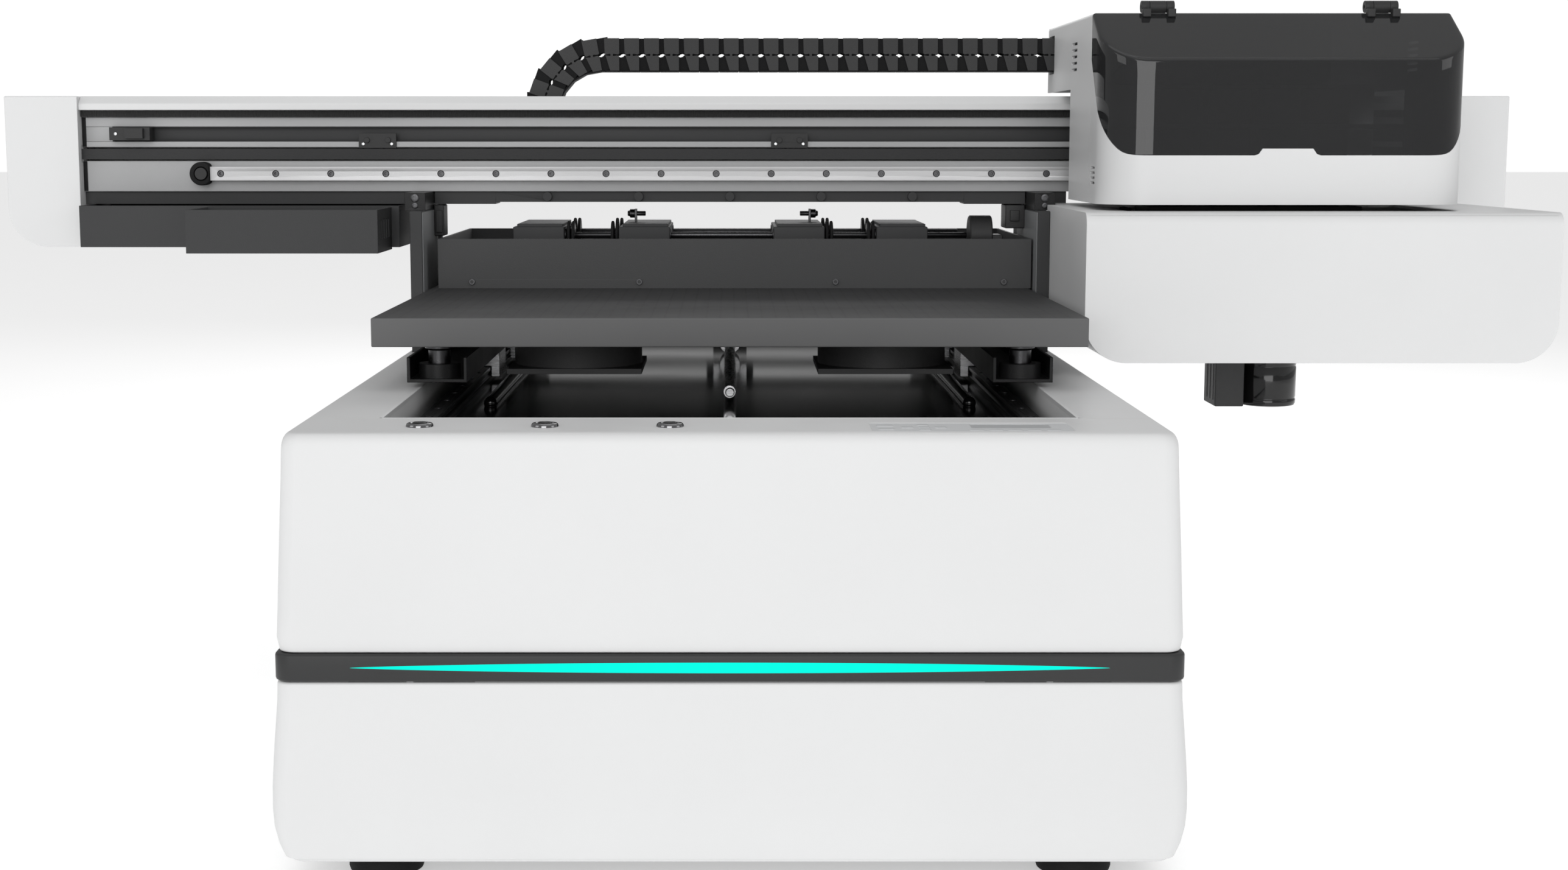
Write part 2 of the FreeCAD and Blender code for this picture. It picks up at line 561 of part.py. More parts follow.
inner_radius = d.pulley_radius + 0.05
node("x_belt", cut("belt", racetrack("belt_out", inner_radius + d.belt_thick, d.belt_low, d.belt_top),
                   racetrack("belt_in", inner_radius, 550, 600)))
for name, x, low in (("drive_pulley", d.pulley_right, d.xmotor_top + 2.2),
                     ("idler_pulley", d.pulley_left, as_size(552))):
    drum = rod(name + "_drum", "z", d.pulley_radius, d.belt_low - 1, d.belt_top + 1, x, d.pulley_y)
    wheel = fuse(name + "_parts", drum,
                 rod(name + "_lower", "z", d.flange_radius, d.belt_low - 2, d.belt_low - 0.6, x, d.pulley_y),
                 rod(name + "_upper", "z", d.flange_radius, d.belt_top + 0.6, d.belt_top + 2, x, d.pulley_y),
                 rod(name + "_hub", "z", 8, low, d.belt_low, x, d.pulley_y))
    node(name, wheel)


def cap_solid(name, side, inset):
    """One beam end cover, drawn in by inset on every side."""
    x_in = d.beam_right if side > 0 else -d.beam_left
    xs = [s * side for s in (x_in + inset, x_in + d.cap_wide - inset)]
    low, high = d.cap_low_z + inset, d.cover_top - inset
    side_view = [(d.cap_front + inset, low), (d.cap_back - inset, low), (d.cap_back - inset, high),
                 (d.cap_front + inset, high)]
    wedge = outline(name + "_side", "YZ_Plane", side_view, span(*xs)[0], d.cap_wide - inset * 2)
    front = rounded(outline(name + "_face", "XZ_Plane", corners(xs, (low, high)), 80, 180),
                    d.cap_corner - inset,
                    lambda a, b: abs(a.x - b.x) < 1e-6 and abs(a.z - b.z) < 1e-6
                    and abs(a.x - val(xs[1])) < 0.5 and abs(a.z - val(low)) < 0.5)
    return common(name, wedge, front)


end_caps = []
for side in (-1, 1):
    name = "cap_left" if side < 0 else "cap_right"
    inner = cap_solid(name + "_in", side, d.cap_wall)
    x_in = d.beam_right if side > 0 else -d.beam_left
    gates = [block("belt_gate", ((x_in - 1) * side, (x_in + 5) * side), ys, (d.belt_low - 3, d.belt_top + 3))
             for ys in ((d.beam_front - 5, d.beam_front + 1), (148, 157))]
    end_caps.append(cut(name + "_shell", cap_solid(name, side, Size(0, "(0)")), inner, *gates))
node("end_caps", group("caps_of_beam", *end_caps))

# ---------------------------------------------------------------- trays, housing, trough


def tub(name, key, wall, extra=()):
    """An open-topped box with thin walls."""
    (x0, x1), (y0, y1), (z0, z1) = extents(key)
    inner = block(name + "_in", (x0 + wall, x1 - wall), (y0 + wall, y1 - wall), (z0 + wall, z1 + 20))
    return cut(name, table_block(key, name + "_out"), inner, *extra)


node("under_beam_tray", tub("beam_tray", "tray", 2))
louvres = [block("louvre", (-378, -360), (8 + 16 * i, 16 + 16 * i), (486, 506)) for i in range(4)]
node("shield_tray", tub("shield_box", "shield", 2, louvres))

hx, hy, hz = extents("house")
front = rounded(outline("house_face", "XZ_Plane", corners(hx, hz), hy[0], hy[1] - hy[0]), d.house_corner,
                lambda a, b: abs(a.x - b.x) < 1e-6 and abs(a.z - b.z) < 1e-6 and abs(a.z - val(hz[0])) < 0.5)
front = rounded(front, Size(12, "(12)"), lambda a, b: abs(a.z - b.z) < 1e-6 and abs(a.y - b.y) < 1e-6
                and abs(a.z - val(hz[1])) < 0.5 and abs(a.y) < 0.5)
room = block("house_room", (hx[0] + 4, hx[1] - 4), (hy[0] + 4, hy[1] - 4), (hz[0] + 42, hz[1] - 3))
lower_room = block("house_lower_room", (hx[0] + 45, hx[1] - 45), (hy[0] + 4, hy[1] - 4),
                   (hz[0] + 4, hz[0] + 43))
well_hole = block("house_mouth", (385, 706), (-150, 64), (hz[1] - 10, hz[1] + 10))
notch = block("house_notch", (320, 349), (60, 140), (hz[0] - 10, hz[1] + 10))
cap_notch = block("house_cap_notch", (d.beam_right - 0.5, hx[1] + 10), (d.cap_front - 0.5, hy[1] + 10),
                  (d.cap_low_z - 0.5, hz[1] + 10))
bottle_hole = rod("bottle_hole", "z", 10, 370, 390, d.bottle_x, d.bottle_y)
node("station_housing", cut("house_shell", front, room, lower_room, well_hole, notch, cap_notch, bottle_hole))

cx, cy, cz = extents("caps")
cap_rows = [block("cap_pocket", (446 + 50 * i, 480 + 50 * i), (cy[0] + 8, cy[1] - 8), (cz[1] - 6, 540))
            for i in range(4)]
plunger = rod("cap_plunger", "z", 14, 440, cz[0], 538, 10)
node("capping_station", fuse("capper", cut("cap_tray", table_block("caps", "cap_block"), *cap_rows), plunger))
blade = fuse("wiper_parts", table_block("wiper", "wiper_blade"),
             block("wiper_foot", (390, 408), (-86, -38), (462, 471)))
node("wiper", blade)
guide = cut("cap_guide_tube", block("guide_block", (516, 560), (-12, 32), (382, 458)),
            rod("guide_bore", "z", 14.06, 384, 460, 538, 10))
track = cut("wiper_track", block("track_block", (388, 410), (-90, 80), (450, 461.5)),
            block("track_slot", (395, 403), (-86, 76), (456, 470)))
post = block("track_post", (392, 406), (-20, 20), (424, 451))
floor = block("station_floor", (388, 745), (-90, 80), (418, 424))
legs = [block("station_leg", (x, x + 12), (-20, 20), (381, 419)) for x in (400, 700)]
node("station_mounts", cut("mounts", fuse("mount_parts", guide, track, post, floor, *legs),
                           rod("floor_bore", "z", 14.06, 384, 460, 538, 10)))

bottle = outline("bottle_turned", "XZ_Plane",
                 [(0, d.bottle_low), (d.bottle_radius - 3, d.bottle_low), (d.bottle_radius, d.bottle_low + 3),
                  (d.bottle_radius, d.bottle_top - 9), (d.neck_radius + 8, d.bottle_top - 4),
                  (d.neck_radius, d.bottle_top - 4), (d.neck_radius, d.bottle_top), (0, d.bottle_top)],
                 (d.bottle_x, d.bottle_y, 0), None, "Turn")
node("waste_bottle", group("bottle_group", bottle, table_block("holder")))

tx, ty, tz = extents("trough")
channel = block("trough_in", (tx[0] - 1, tx[1] - 2), (ty[0] + 1.4, ty[1] - 1.4), (tz[0] + 1.5, tz[1] - 1.2))
mouth = block("trough_mouth", (tx[0] - 1, 30), (ty[0] + 1.4, ty[1] - 1.4), (tz[0] + 1.5, tz[1] + 5))
node("chain_trough", cut("trough_shell", table_block("trough", "trough_out"), channel, mouth))

# ---------------------------------------------------------------- chain


def chain_run(name, start, count, end, mid_z):
    """A straight run: link boxes on a thinner core, with the cable space cut through."""
    ys = (d.chain_front, d.chain_back)
    links = [block(name + "_link", (start + d.link * i + d.link_gap, start + d.link * (i + 1)), ys,
                   (mid_z - d.chain_half, mid_z + d.chain_half)) for i in range(count)]
    heart = block(name + "_core", (start, end), (ys[0] + 2, ys[1] - 2),
                  (mid_z - d.chain_half + 3, mid_z + d.chain_half - 3))
    return fuse(name + "_solid", heart, *links)


def cable_space(name, start, end, mid_z):
    return block(name, (start - 1, end + 1), (d.chain_front + 5, d.chain_back - 5), (mid_z - 12, mid_z + 12))


upper_end = d.bend_x + d.link * 23
node("chain_upper_run", cut("upper_run", chain_run("upper", d.bend_x, 23, upper_end, d.chain_high),
                            cable_space("upper_space", d.bend_x, upper_end, d.chain_high)))


def half_ring(name, radius, front, back):
    obj = doc.addObject("Part::Cylinder", name)
    turn = FreeCAD.Rotation(FreeCAD.Vector(1, 0, 0), -90) * FreeCAD.Rotation(FreeCAD.Vector(0, 0, 1), 90)
    obj.Placement = FreeCAD.Placement(FreeCAD.Vector(), turn)
    obj.Angle = 180
    bind(obj, Radius=radius, Height=back - front)
    place(obj, d.bend_x, front, d.chain_low_z + d.bend_radius)
    return obj


cf, cb = d.chain_front, d.chain_back
bend = cut("bend_shell", half_ring("bend_out", d.bend_radius + d.chain_half, cf, cb),
           half_ring("bend_hole", d.bend_radius - d.chain_half, cf - 1, cb + 1))
bend_space = cut("bend_space", half_ring("space_out", d.bend_radius + 12, cf + 5, cb - 5),
                 half_ring("space_in", d.bend_radius - 12, cf + 4, cb - 4))
tail_count = 28
tail_end = d.bend_x + d.link * tail_count
tail = chain_run("lower", d.bend_x, tail_count, tail_end, d.chain_low_z)
node("chain_loop", cut("loop", fuse("loop_solid", bend, tail), bend_space,
                       cable_space("lower_space", d.bend_x + 1, tail_end, d.chain_low_z)))

# ---------------------------------------------------------------- carriage

carrier = [table_block(k) for k in ("carrier", "bridge", "shelf", "head_plate", "chain_foot")]
clamp = block("belt_clamp", (520, 556), (d.carrier_back, d.beam_front - 3.9), (d.belt_low - 0.5, 583))
snouts = [block("snout_hole", (442 + 50 * i, 476 + 50 * i), (-26, 46), (550, 570)) for i in range(4)]
node("carriage_plate", cut("carriage_frame", fuse("carriage_parts", clamp, *carrier), *snouts))

blocks = []
for x0 in (400, 616):
    body = block("x_block", (x0, x0 + 60), (d.carrier_back, d.beam_front - 3), (538, 566))
    slot = block("x_block_slot", (x0 - 1, x0 + 61), (d.xrail_front - 0.4, d.beam_front + 1),
                 (d.xrail_z - 7.9, d.xrail_z + 7.9))
    blocks.append(cut("x_bearing", body, slot))
node("carriage_blocks", group("x_blocks", *blocks))

heads, tanks, lamps = [], [], []
for i in range(4):
    x = 443 + 50 * i
    heads.append(fuse("head", block("head_snout", (x, x + 32), (-25, 45), (522, 570)),
                      block("head_body", (x - 4, x + 36), (-32, 52), (566, 599))))
    tanks.append(block("tank", (x - 6, x + 38), (-30, 50), (604, 640)))
for x in (389, 651):
    lamps.append(block("lamp", (x, x + 36), (-56, 56), (523, 560)))
node("print_heads", group("heads", *heads))
node("ink_tanks", group("tanks", *tanks))
node("uv_lamps", group("lamps", *lamps))
chips = []
for i in range(5):
    chip_low = 664 + 12 * (i % 2)
    chips.append(block("chip", (452 + 36 * i, 474 + 36 * i), (78, d.board_front), (chip_low, chip_low + 20)))
stay = block("board_stay", (444, 636), (84, 94), (647, 652))
node("circuit_board", fuse("board_parts", table_block("board", "board_plate"), stay, *chips))


def hood_solid(name, inset, low):
    """The hood's outline seen from the side, swept across, with round front corners."""
    w = inset
    side = [(d.hood_front + w, low), (d.hood_front + w, d.brow_z - w * 0.4),
            (d.brow_y + w * 0.3, d.hood_top - w), (d.hood_back - w, d.hood_top - w)]
    if val(inset) == 0:
        side += [(d.hood_back, d.step_z), (d.step_y, d.step_z), (d.step_y, low)]
    else:
        side += [(d.hood_back - w, low)]
    profile = outline(name + "_side", "YZ_Plane", side, d.hood_left + w, d.hood_right - d.hood_left - w * 2)
    ys = (d.hood_front + w, d.hood_back - w)
    xs = (d.hood_left + w, d.hood_right - w)
    plan = rounded(outline(name + "_plan", "XY_Plane", corners(xs, ys), 400, 400),
                   d.hood_corner - w, upright_edge(None, [ys[0]]))
    return common(name, profile, plan)


hood = cut("hood_all", hood_solid("hood_out", Size(0, "(0)"), d.hood_low),
           hood_solid("hood_in", d.hood_wall, Size(500, "(500)")))
wide = (300, 800)
behind = block("hood_behind", wide, (d.brow_y + 0.3, 300), (500, 760))
vents = [block("vent", wide, (20, 55), (659.5 + 6.6 * i, 662.5 + 6.6 * i)) for i in range(5)]
chain_door = block("chain_door", (350, 366), (cf - 2, cb + 2), (d.chain_high - 21, d.chain_high + 21))
node("hood_shell", cut("shell_of_hood", common("hood_rear", hood, behind), chain_door, *vents))


def below_sill(name, grow):
    """The space under the pane's lower edge, which climbs to the brow along each side."""
    points = [(-200, 500), (-200, d.sill_z + grow), (d.climb_y - grow, d.sill_z + grow),
              (d.brow_y, d.cheek_z + grow), (d.brow_y, 500)]
    return outline(name, "YZ_Plane", points, 300, 500)


low_vents = [block("low_vent", wide, (-104, -80), (545 + 5 * i, 547.4 + 5 * i)) for i in range(4)]
low_front = common("hood_low_front", hood, below_sill("panel_zone", 0))
node("hood_front_panel", cut("front_of_hood", low_front, *low_vents))
notch = block("finger_notch", (d.notch_left, d.notch_right), (d.hood_front - 7, d.hood_front + 13),
              (d.sill_z - 1, d.sill_z + d.notch_tall))
lid_space = block("lid_space", wide, (-200, d.brow_y), (540, 760))
lid_zone = cut("lid_zone", lid_space, below_sill("sill_gap", d.seam), notch)
lid_shell = common("lid_shell", hood, lid_zone)

lid_parts, hinge_parts = [], []
for x in (425, 647):
    half = d.hinge_half
    hinge_parts.append(rod("hinge_barrel", "x", d.knuckle, x - half / 2, x + half / 2, d.hinge_y, d.hinge_z))
    hinge_parts.append(block("hinge_leaf", (x - half / 2, x + half / 2), (d.hinge_y, d.hinge_y + 20),
                             (d.hood_top, d.hinge_z + 4)))
    hinge_parts.append(rod("hinge_pin", "x", d.pin_radius, x - half, x + half, d.hinge_y, d.hinge_z))
    for s in (-1, 1):
        ends = span(x + half / 2 * s + 0.3 * s, x + half * s)
        barrel = rod("lid_barrel", "x", d.knuckle, ends[0], ends[1], d.hinge_y, d.hinge_z)
        bore = rod("lid_bore", "x", d.pin_radius + 0.05, ends[0] - 1, ends[1] + 1, d.hinge_y, d.hinge_z)
        leaf = block("lid_leaf", ends, (d.brow_y - 9, d.brow_y), (d.hood_top - 6, d.hood_top + 4))
        tongue = block("lid_tongue", ends, (d.brow_y - 1, d.hinge_y - 3), (d.hood_top + 0.5, d.hood_top + 4))
        lid_parts.append(cut("lid_knuckle", fuse("lid_knuckle_solid", barrel, leaf, tongue), bore))
hinges = [fuse("hinge_%d" % i, *hinge_parts[i * 3:i * 3 + 3]) for i in range(2)]
node("hood_hinges", group("hinge_pair", *hinges))
node("hood_lid", fuse("lid", lid_shell, *lid_parts))

# ---------------------------------------------------------------- bed

channels = []
for s in (-1, 1):
    shell = block("channel_out", (s * d.channel_in, s * d.channel_out), (d.channel_front, d.channel_back),
                  (d.channel_low, d.channel_top))
    hollow = block("channel_hollow",
                   (s * (d.channel_in + d.channel_wall), s * (d.channel_out - d.channel_wall)),
                   (d.channel_front - 1, d.channel_back + 1), (d.channel_low + d.channel_wall, 420))
    collars = []
    for y in (-285, 145, 575):
        collar = rod("collar", "z", d.collar_radius, d.channel_low + 1,
                     d.channel_low + d.channel_wall + d.collar_tall, d.post_x * s, y)
        collars.append(collar)
    bores = [rod("collar_bore", "z", d.collar_bore, d.channel_low + d.channel_wall, 420, d.post_x * s, y)
             for y in (-285, 145, 575)]
    channel = fuse("channel_solid", cut("channel", shell, hollow), *collars)
    channels.append(cut("channel_bored", channel, *bores))
drive = [table_block(k) for k in ("plate_nut", "plate_back", "lift_drive")]
node("bed_channels", fuse("channels", *channels, *drive))

bearings = []
for s in (-1, 1):
    for y in (d.block_a, d.block_b):
        body = block("y_block", (d.yrail_x * s - d.block_half, d.yrail_x * s + d.block_half),
                     (y - d.block_long / 2, y + d.block_long / 2), (d.well_z + 4.3, d.channel_low))
        slot = block("y_block_slot", (d.yrail_x * s - 7.9, d.yrail_x * s + 7.9),
                     (y - d.block_long, y + d.block_long), (300, d.well_z + d.rail_tall + 0.4))
        bearings.append(cut("y_bearing", body, slot))
nut = fuse("nut_solid", rod("nut", "y", d.nut_radius - 0.5, d.nut_front, d.nut_back, 0, d.screw_z),
           block("nut_bracket", (-20, 20), (d.nut_front + 4, d.nut_back - 4), (d.screw_z, d.channel_low)))
nut = cut("screw_nut", nut, rod("nut_bore", "y", d.screw_radius + 0.06, 200, 400, 0, d.screw_z))
node("bed_bearings", group("bed_runners", nut, *bearings))

slab = block("slab", (-d.bed_half, d.bed_half), (d.bed_front, d.bed_back), (d.bed_low, d.bed_top))
plenums = [rod("fan_plenum", "z", d.fan_bore - 2, 400, d.bed_low + 9, d.fan_x * s, d.fan_y) for s in (-1, 1)]
posts = [rod("post", "z", d.post_radius, d.post_low, d.bed_low, d.post_x * s, y)
         for s in (-1, 1) for y in (-285, 145, 575)]
node("bed_plate", fuse("bed_slab", cut("slab_cut", slab, *plenums), *posts))

housings = []
for s, name in ((-1, "left"), (1, "right")):
    x = d.fan_x * s
    square = (x - d.fan_half, x + d.fan_half), (d.fan_y - d.fan_half, d.fan_y + d.fan_half)
    plates = [block("fan_plate", *square, (z, z + d.fan_flange))
              for z in (d.fan_low, d.bed_low - d.fan_flange)]
    ring = rod("fan_ring", "z", d.fan_radius, d.fan_low, d.bed_low, x, d.fan_y)
    bore = rod("fan_bore", "z", d.fan_bore, 300, 500, x, d.fan_y)
    spokes = [block("spoke", (x - d.fan_radius, x + d.fan_radius), (d.fan_y - 3, d.fan_y + 3),
                    (d.fan_low, d.fan_low + 3)),
              block("spoke", (x - 3, x + 3), (d.fan_y - d.fan_radius, d.fan_y + d.fan_radius),
                    (d.fan_low, d.fan_low + 3)),
              rod("fan_stator", "z", d.hub_radius, d.fan_low, d.fan_low + 5, x, d.fan_y)]
    housings.append(fuse("fan_housing", cut("fan_frame", fuse("fan_body", ring, *plates), bore), *spokes))
    blades = [rod("fan_hub", "z", d.hub_radius, d.fan_low + 6, d.bed_low - 3, x, d.fan_y)]
    for i in range(7):
        blade = doc.addObject("Part::Box", "fan_blade")
        turn = FreeCAD.Rotation(FreeCAD.Vector(0, 0, 1), 360 * i / 7)
        tilt = FreeCAD.Rotation(FreeCAD.Vector(1, 0, 0), 35)
        blade.Placement = FreeCAD.Placement(FreeCAD.Vector(), turn * tilt)
        bind(blade, Length=d.rotor_radius - 18, Width=Size(2, "(2)"), Height=Size(19, "(19)"))
        corner = turn.multVec(FreeCAD.Vector(18, 5, 0))
        place(blade, x + corner.x, d.fan_y + corner.y, d.fan_low + 7)
        blades.append(blade)
    node("fan_rotor_" + name, fuse("rotor_" + name, *blades))
node("vacuum_fans", group("fans", *housings))

# ---------------------------------------------------------------- rotary attachment

bolts = [rod("box_screw", "y", 3.2, d.rot_box_front - 1.4, d.rot_box_front + 1, x, 438)
         for x in (-276, -97, 113, 293)]
node("rotary_box", fuse("rotary_tub", tub("rot_tub", "rot_box", 3), *bolts))
stands = []
for x0, x1 in ((-238, -182), (-122, -66), (48, 104), (161, 217)):
    tower = block("tower", (x0, x1), (d.tower_front, d.tower_back), (d.tower_foot, d.tower_top))
    lid = block("tower_lid", (x0 + 4, x1 - 2), (d.tower_front + 6, d.tower_back - 6),
                (d.tower_top - 1, d.tower_lid))
    bores = [rod("tower_bore", "x", d.roll_shaft + 0.06, x0 - 1, x1 + 1, y, d.shaft_z)
             for y in (d.shaft_a, d.shaft_b)]
    stands.append(cut("roller_tower", fuse("tower_solid", tower, lid), *bores))
for x, side in ((-106, -1), (90, 1)):
    post = block("clamp_post", (x - 1.5, x + 1.5), (d.clamp_y - 6, d.clamp_y + 6),
                 (d.tower_lid - 1, d.clamp_top))
    shank = rod("clamp_shank", "x", 2.8, *sorted((x, x - 11 * side)), d.clamp_y, d.clamp_z)
    head = rod("clamp_head", "x", 5, *sorted((x, x + 9.4 * side)), d.clamp_y, d.clamp_z)
    stands.append(fuse("tower_clamp", post, shank, head))
motor_can = rod("motor_can", "x", 22, 264, 289, d.shaft_a, d.shaft_z)
motor = fuse("roller_motor", table_block("motor_block"), motor_can)
node("rotary_supports", group("roller_stands", motor, *stands))
for name, y in (("roller_front", d.shaft_a), ("roller_rear", d.shaft_b)):
    shaft = rod(name + "_shaft", "x", d.roll_shaft, d.roll_left, d.roll_right, y, d.shaft_z)
    wheels = [rod(name + "_wheel", "x", d.wheel_radius, x, x + d.wheel_thick, y, d.shaft_z)
              for x in (-180, -175, -131.5, -126.5, 105, 110, 151, 156)]
    node(name, fuse(name + "_parts", shaft, *wheels))

# ---------------------------------------------------------------- check and export

doc.recompute()
for obj in doc.Objects:
    if "Invalid" in obj.State or "Error" in obj.State:
        raise RuntimeError("%s did not rebuild: %s" % (obj.Label, obj.State))
os.makedirs("parts", exist_ok=True)
for name, obj in nodes.items():
    shape = obj.Shape
    if shape.isNull() or not shape.isValid() or not shape.Solids:
        raise RuntimeError("the shape of %s is not usable" % name)
    shape.exportStep("parts/%s.step" % name)
print("exported", len(nodes), "sub-parts")
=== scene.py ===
import json
import math
import bmesh
import bpy
import numpy as np
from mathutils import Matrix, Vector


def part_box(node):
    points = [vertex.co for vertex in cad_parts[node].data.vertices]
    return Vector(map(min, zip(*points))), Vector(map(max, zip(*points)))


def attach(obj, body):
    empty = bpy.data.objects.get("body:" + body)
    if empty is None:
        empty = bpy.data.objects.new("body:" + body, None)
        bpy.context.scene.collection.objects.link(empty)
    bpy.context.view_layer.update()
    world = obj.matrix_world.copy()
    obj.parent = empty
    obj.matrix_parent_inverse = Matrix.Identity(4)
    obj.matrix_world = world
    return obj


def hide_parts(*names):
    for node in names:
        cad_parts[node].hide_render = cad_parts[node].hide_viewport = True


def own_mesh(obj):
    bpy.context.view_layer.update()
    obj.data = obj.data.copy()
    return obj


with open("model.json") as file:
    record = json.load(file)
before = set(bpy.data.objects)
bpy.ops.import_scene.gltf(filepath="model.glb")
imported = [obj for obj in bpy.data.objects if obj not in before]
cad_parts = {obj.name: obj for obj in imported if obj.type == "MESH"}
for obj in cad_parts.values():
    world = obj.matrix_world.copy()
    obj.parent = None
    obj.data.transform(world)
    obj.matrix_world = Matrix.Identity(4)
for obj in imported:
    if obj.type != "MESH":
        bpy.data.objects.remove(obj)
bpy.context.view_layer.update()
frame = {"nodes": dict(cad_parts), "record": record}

nodeBody = {n: b for b, ns in frame["record"]["behaviour"]["bodies"].items() for n in ns}
mm = 0.001
deckMiddle = 24  # millimetres from the cabinet drawing's y origin to the cabinet's middle
midX = (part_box("lower_cover")[0].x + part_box("lower_cover")[1].x) / 2  # the cabinet's centre plane
midY = (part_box("lower_cover")[0].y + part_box("lower_cover")[1].y) / 2


# shader building blocks

class Nodes:
    # a thin helper over a node tree: add a node, set its inputs, link what is a socket

    def __init__(self, tree):
        self.tree = tree

    def add(self, kind, settings=None, **inputs):
        # an input is named by its socket, with _ for a space, or by its number as i0, i1 and so on
        node = self.tree.nodes.new(kind)
        for key, value in (settings or {}).items():
            setattr(node, key, value)
        for key, value in inputs.items():
            numbered = key[0] == "i" and key[1:].isdigit()
            socket = node.inputs[int(key[1:])] if numbered else node.inputs[key.replace("_", " ")]
            if isinstance(value, bpy.types.NodeSocket):
                self.tree.links.new(value, socket)
            else:
                socket.default_value = value
        return node

    def math(self, operation, a, b=0.0):
        return self.add("ShaderNodeMath", settings={"operation": operation}, i0=a, i1=b).outputs[0]

    def remap(self, value, low, high, newLow, newHigh):
        node = self.add("ShaderNodeMapRange", i0=value, i1=low, i2=high, i3=newLow, i4=newHigh)
        return node.outputs[0]

    def mixColour(self, mask, first, second):
        node = self.add("ShaderNodeMix", settings={"data_type": "RGBA"}, i0=mask, i6=first, i7=second)
        return node.outputs[2]


def rgba(r, g=None, b=None):
    return (r, g if g is not None else r, b if b is not None else r, 1.0)


def nodeGroup(name, inputs, outputs):
    group = bpy.data.node_groups.new(name, "ShaderNodeTree")
    kinds = {"value": "NodeSocketFloat", "colour": "NodeSocketColor", "vector": "NodeSocketVector"}
    for label, kind, default in inputs:
        socket = group.interface.new_socket(label, in_out="INPUT", socket_type=kinds[kind])
        if default is not None:
            socket.default_value = default
    for label, kind in outputs:
        group.interface.new_socket(label, in_out="OUTPUT", socket_type=kinds[kind])
    nodes = Nodes(group)
    return group, nodes, nodes.add("NodeGroupInput"), nodes.add("NodeGroupOutput")


def makeGrainGroup():
    # fine grain height and slow mottling, both from noise on object coordinates
    group, n, inside, outside = nodeGroup(
        "grain", [("Scale", "value", 900.0), ("Slow Scale", "value", 6.0)],
        [("Height", "value"), ("Mottle", "value")])
    place = n.add("ShaderNodeTexCoord").outputs["Object"]
    fine = n.add("ShaderNodeTexNoise", Vector=place, Scale=inside.outputs[0], Detail=3.0)
    slow = n.add("ShaderNodeTexNoise", Vector=place, Scale=inside.outputs[1], Detail=4.0)
    n.tree.links.new(fine.outputs[0], outside.inputs[0])
    n.tree.links.new(slow.outputs[0], outside.inputs[1])
    return group


def makeBrushGroup():
    # long scratches along one axis: noise squeezed by a per-axis scale
    group, n, inside, outside = nodeGroup(
        "brush", [("Stretch", "vector", (4.0, 900.0, 900.0))], [("Height", "value"), ("Mottle", "value")])
    place = n.add("ShaderNodeTexCoord").outputs["Object"]
    squeezed = n.add("ShaderNodeVectorMath", settings={"operation": "MULTIPLY"},
                     i0=place, i1=inside.outputs[0])
    lines = n.add("ShaderNodeTexNoise", Vector=squeezed.outputs[0], Scale=1.0, Detail=4.0)
    slow = n.add("ShaderNodeTexNoise", Vector=place, Scale=9.0, Detail=3.0)
    n.tree.links.new(lines.outputs[0], outside.inputs[0])
    n.tree.links.new(slow.outputs[0], outside.inputs[1])
    return group


grainGroup = makeGrainGroup()
brushGroup = makeBrushGroup()
materials = {}


def newMaterial(name):
    material = bpy.data.materials.new(name)
    material.use_nodes = True
    shader = next(node for node in material.node_tree.nodes if node.type == "BSDF_PRINCIPLED")
    materials[name] = material
    return Nodes(material.node_tree), shader


def setPlain(node, **values):
    # values that are the same all over a surface, straight on the node's own sockets
    for key, value in values.items():
        node.inputs[key.replace("_", " ")].default_value = value
    return node


def useGroup(n, group, **inputs):
    return setPlain(n.add("ShaderNodeGroup", settings={"node_tree": group}), **inputs)


def slowTint(n, g):
    # the slow mottling of a grain or brush group, stretched to run from 0 to 1
    return n.remap(g.outputs[1], 0.3, 0.7, 0.0, 1.0)


def setBump(n, shader, height, strength, distance):
    bump = n.add("ShaderNodeBump", Strength=strength, Distance=distance, Height=height)
    n.tree.links.new(bump.outputs[0], shader.inputs["Normal"])


def paint(name, colour, roughness, grain, bump, spread=0.06, metallic=0.0, specular=0.5):
    # sprayed or moulded finish: mottled colour, roughness that wanders and fine orange peel
    n, shader = newMaterial(name)
    g = useGroup(n, grainGroup, Scale=grain)
    darker = [c * (1 - spread) for c in colour]
    lighter = [min(1, c * (1 + spread)) for c in colour]
    shown = n.mixColour(slowTint(n, g), rgba(*darker), rgba(*lighter))
    link = n.tree.links.new
    link(shown, shader.inputs["Base Color"])
    rough = n.remap(g.outputs[1], 0.3, 0.7, roughness * 0.85, min(1.0, roughness * 1.18))
    link(rough, shader.inputs["Roughness"])
    setBump(n, shader, g.outputs[0], min(1.0, bump * 10), 0.0003)
    setPlain(shader, Metallic=metallic, Specular_IOR_Level=specular)


def metal(name, colour, roughness, stretch=(5.0, 700.0, 700.0), bump=0.15, spread=0.12):
    # drawn or ground metal: scratches along one axis in both the height and the roughness
    n, shader = newMaterial(name)
    g = useGroup(n, brushGroup, Stretch=stretch)
    shown = n.mixColour(slowTint(n, g), rgba(*[c * (1 - spread) for c in colour]), rgba(*colour))
    link = n.tree.links.new
    link(shown, shader.inputs["Base Color"])
    link(n.remap(g.outputs[0], 0.3, 0.7, roughness * 0.75, roughness * 1.3), shader.inputs["Roughness"])
    setBump(n, shader, g.outputs[0], bump, 0.0001)
    setPlain(shader, Metallic=1.0)


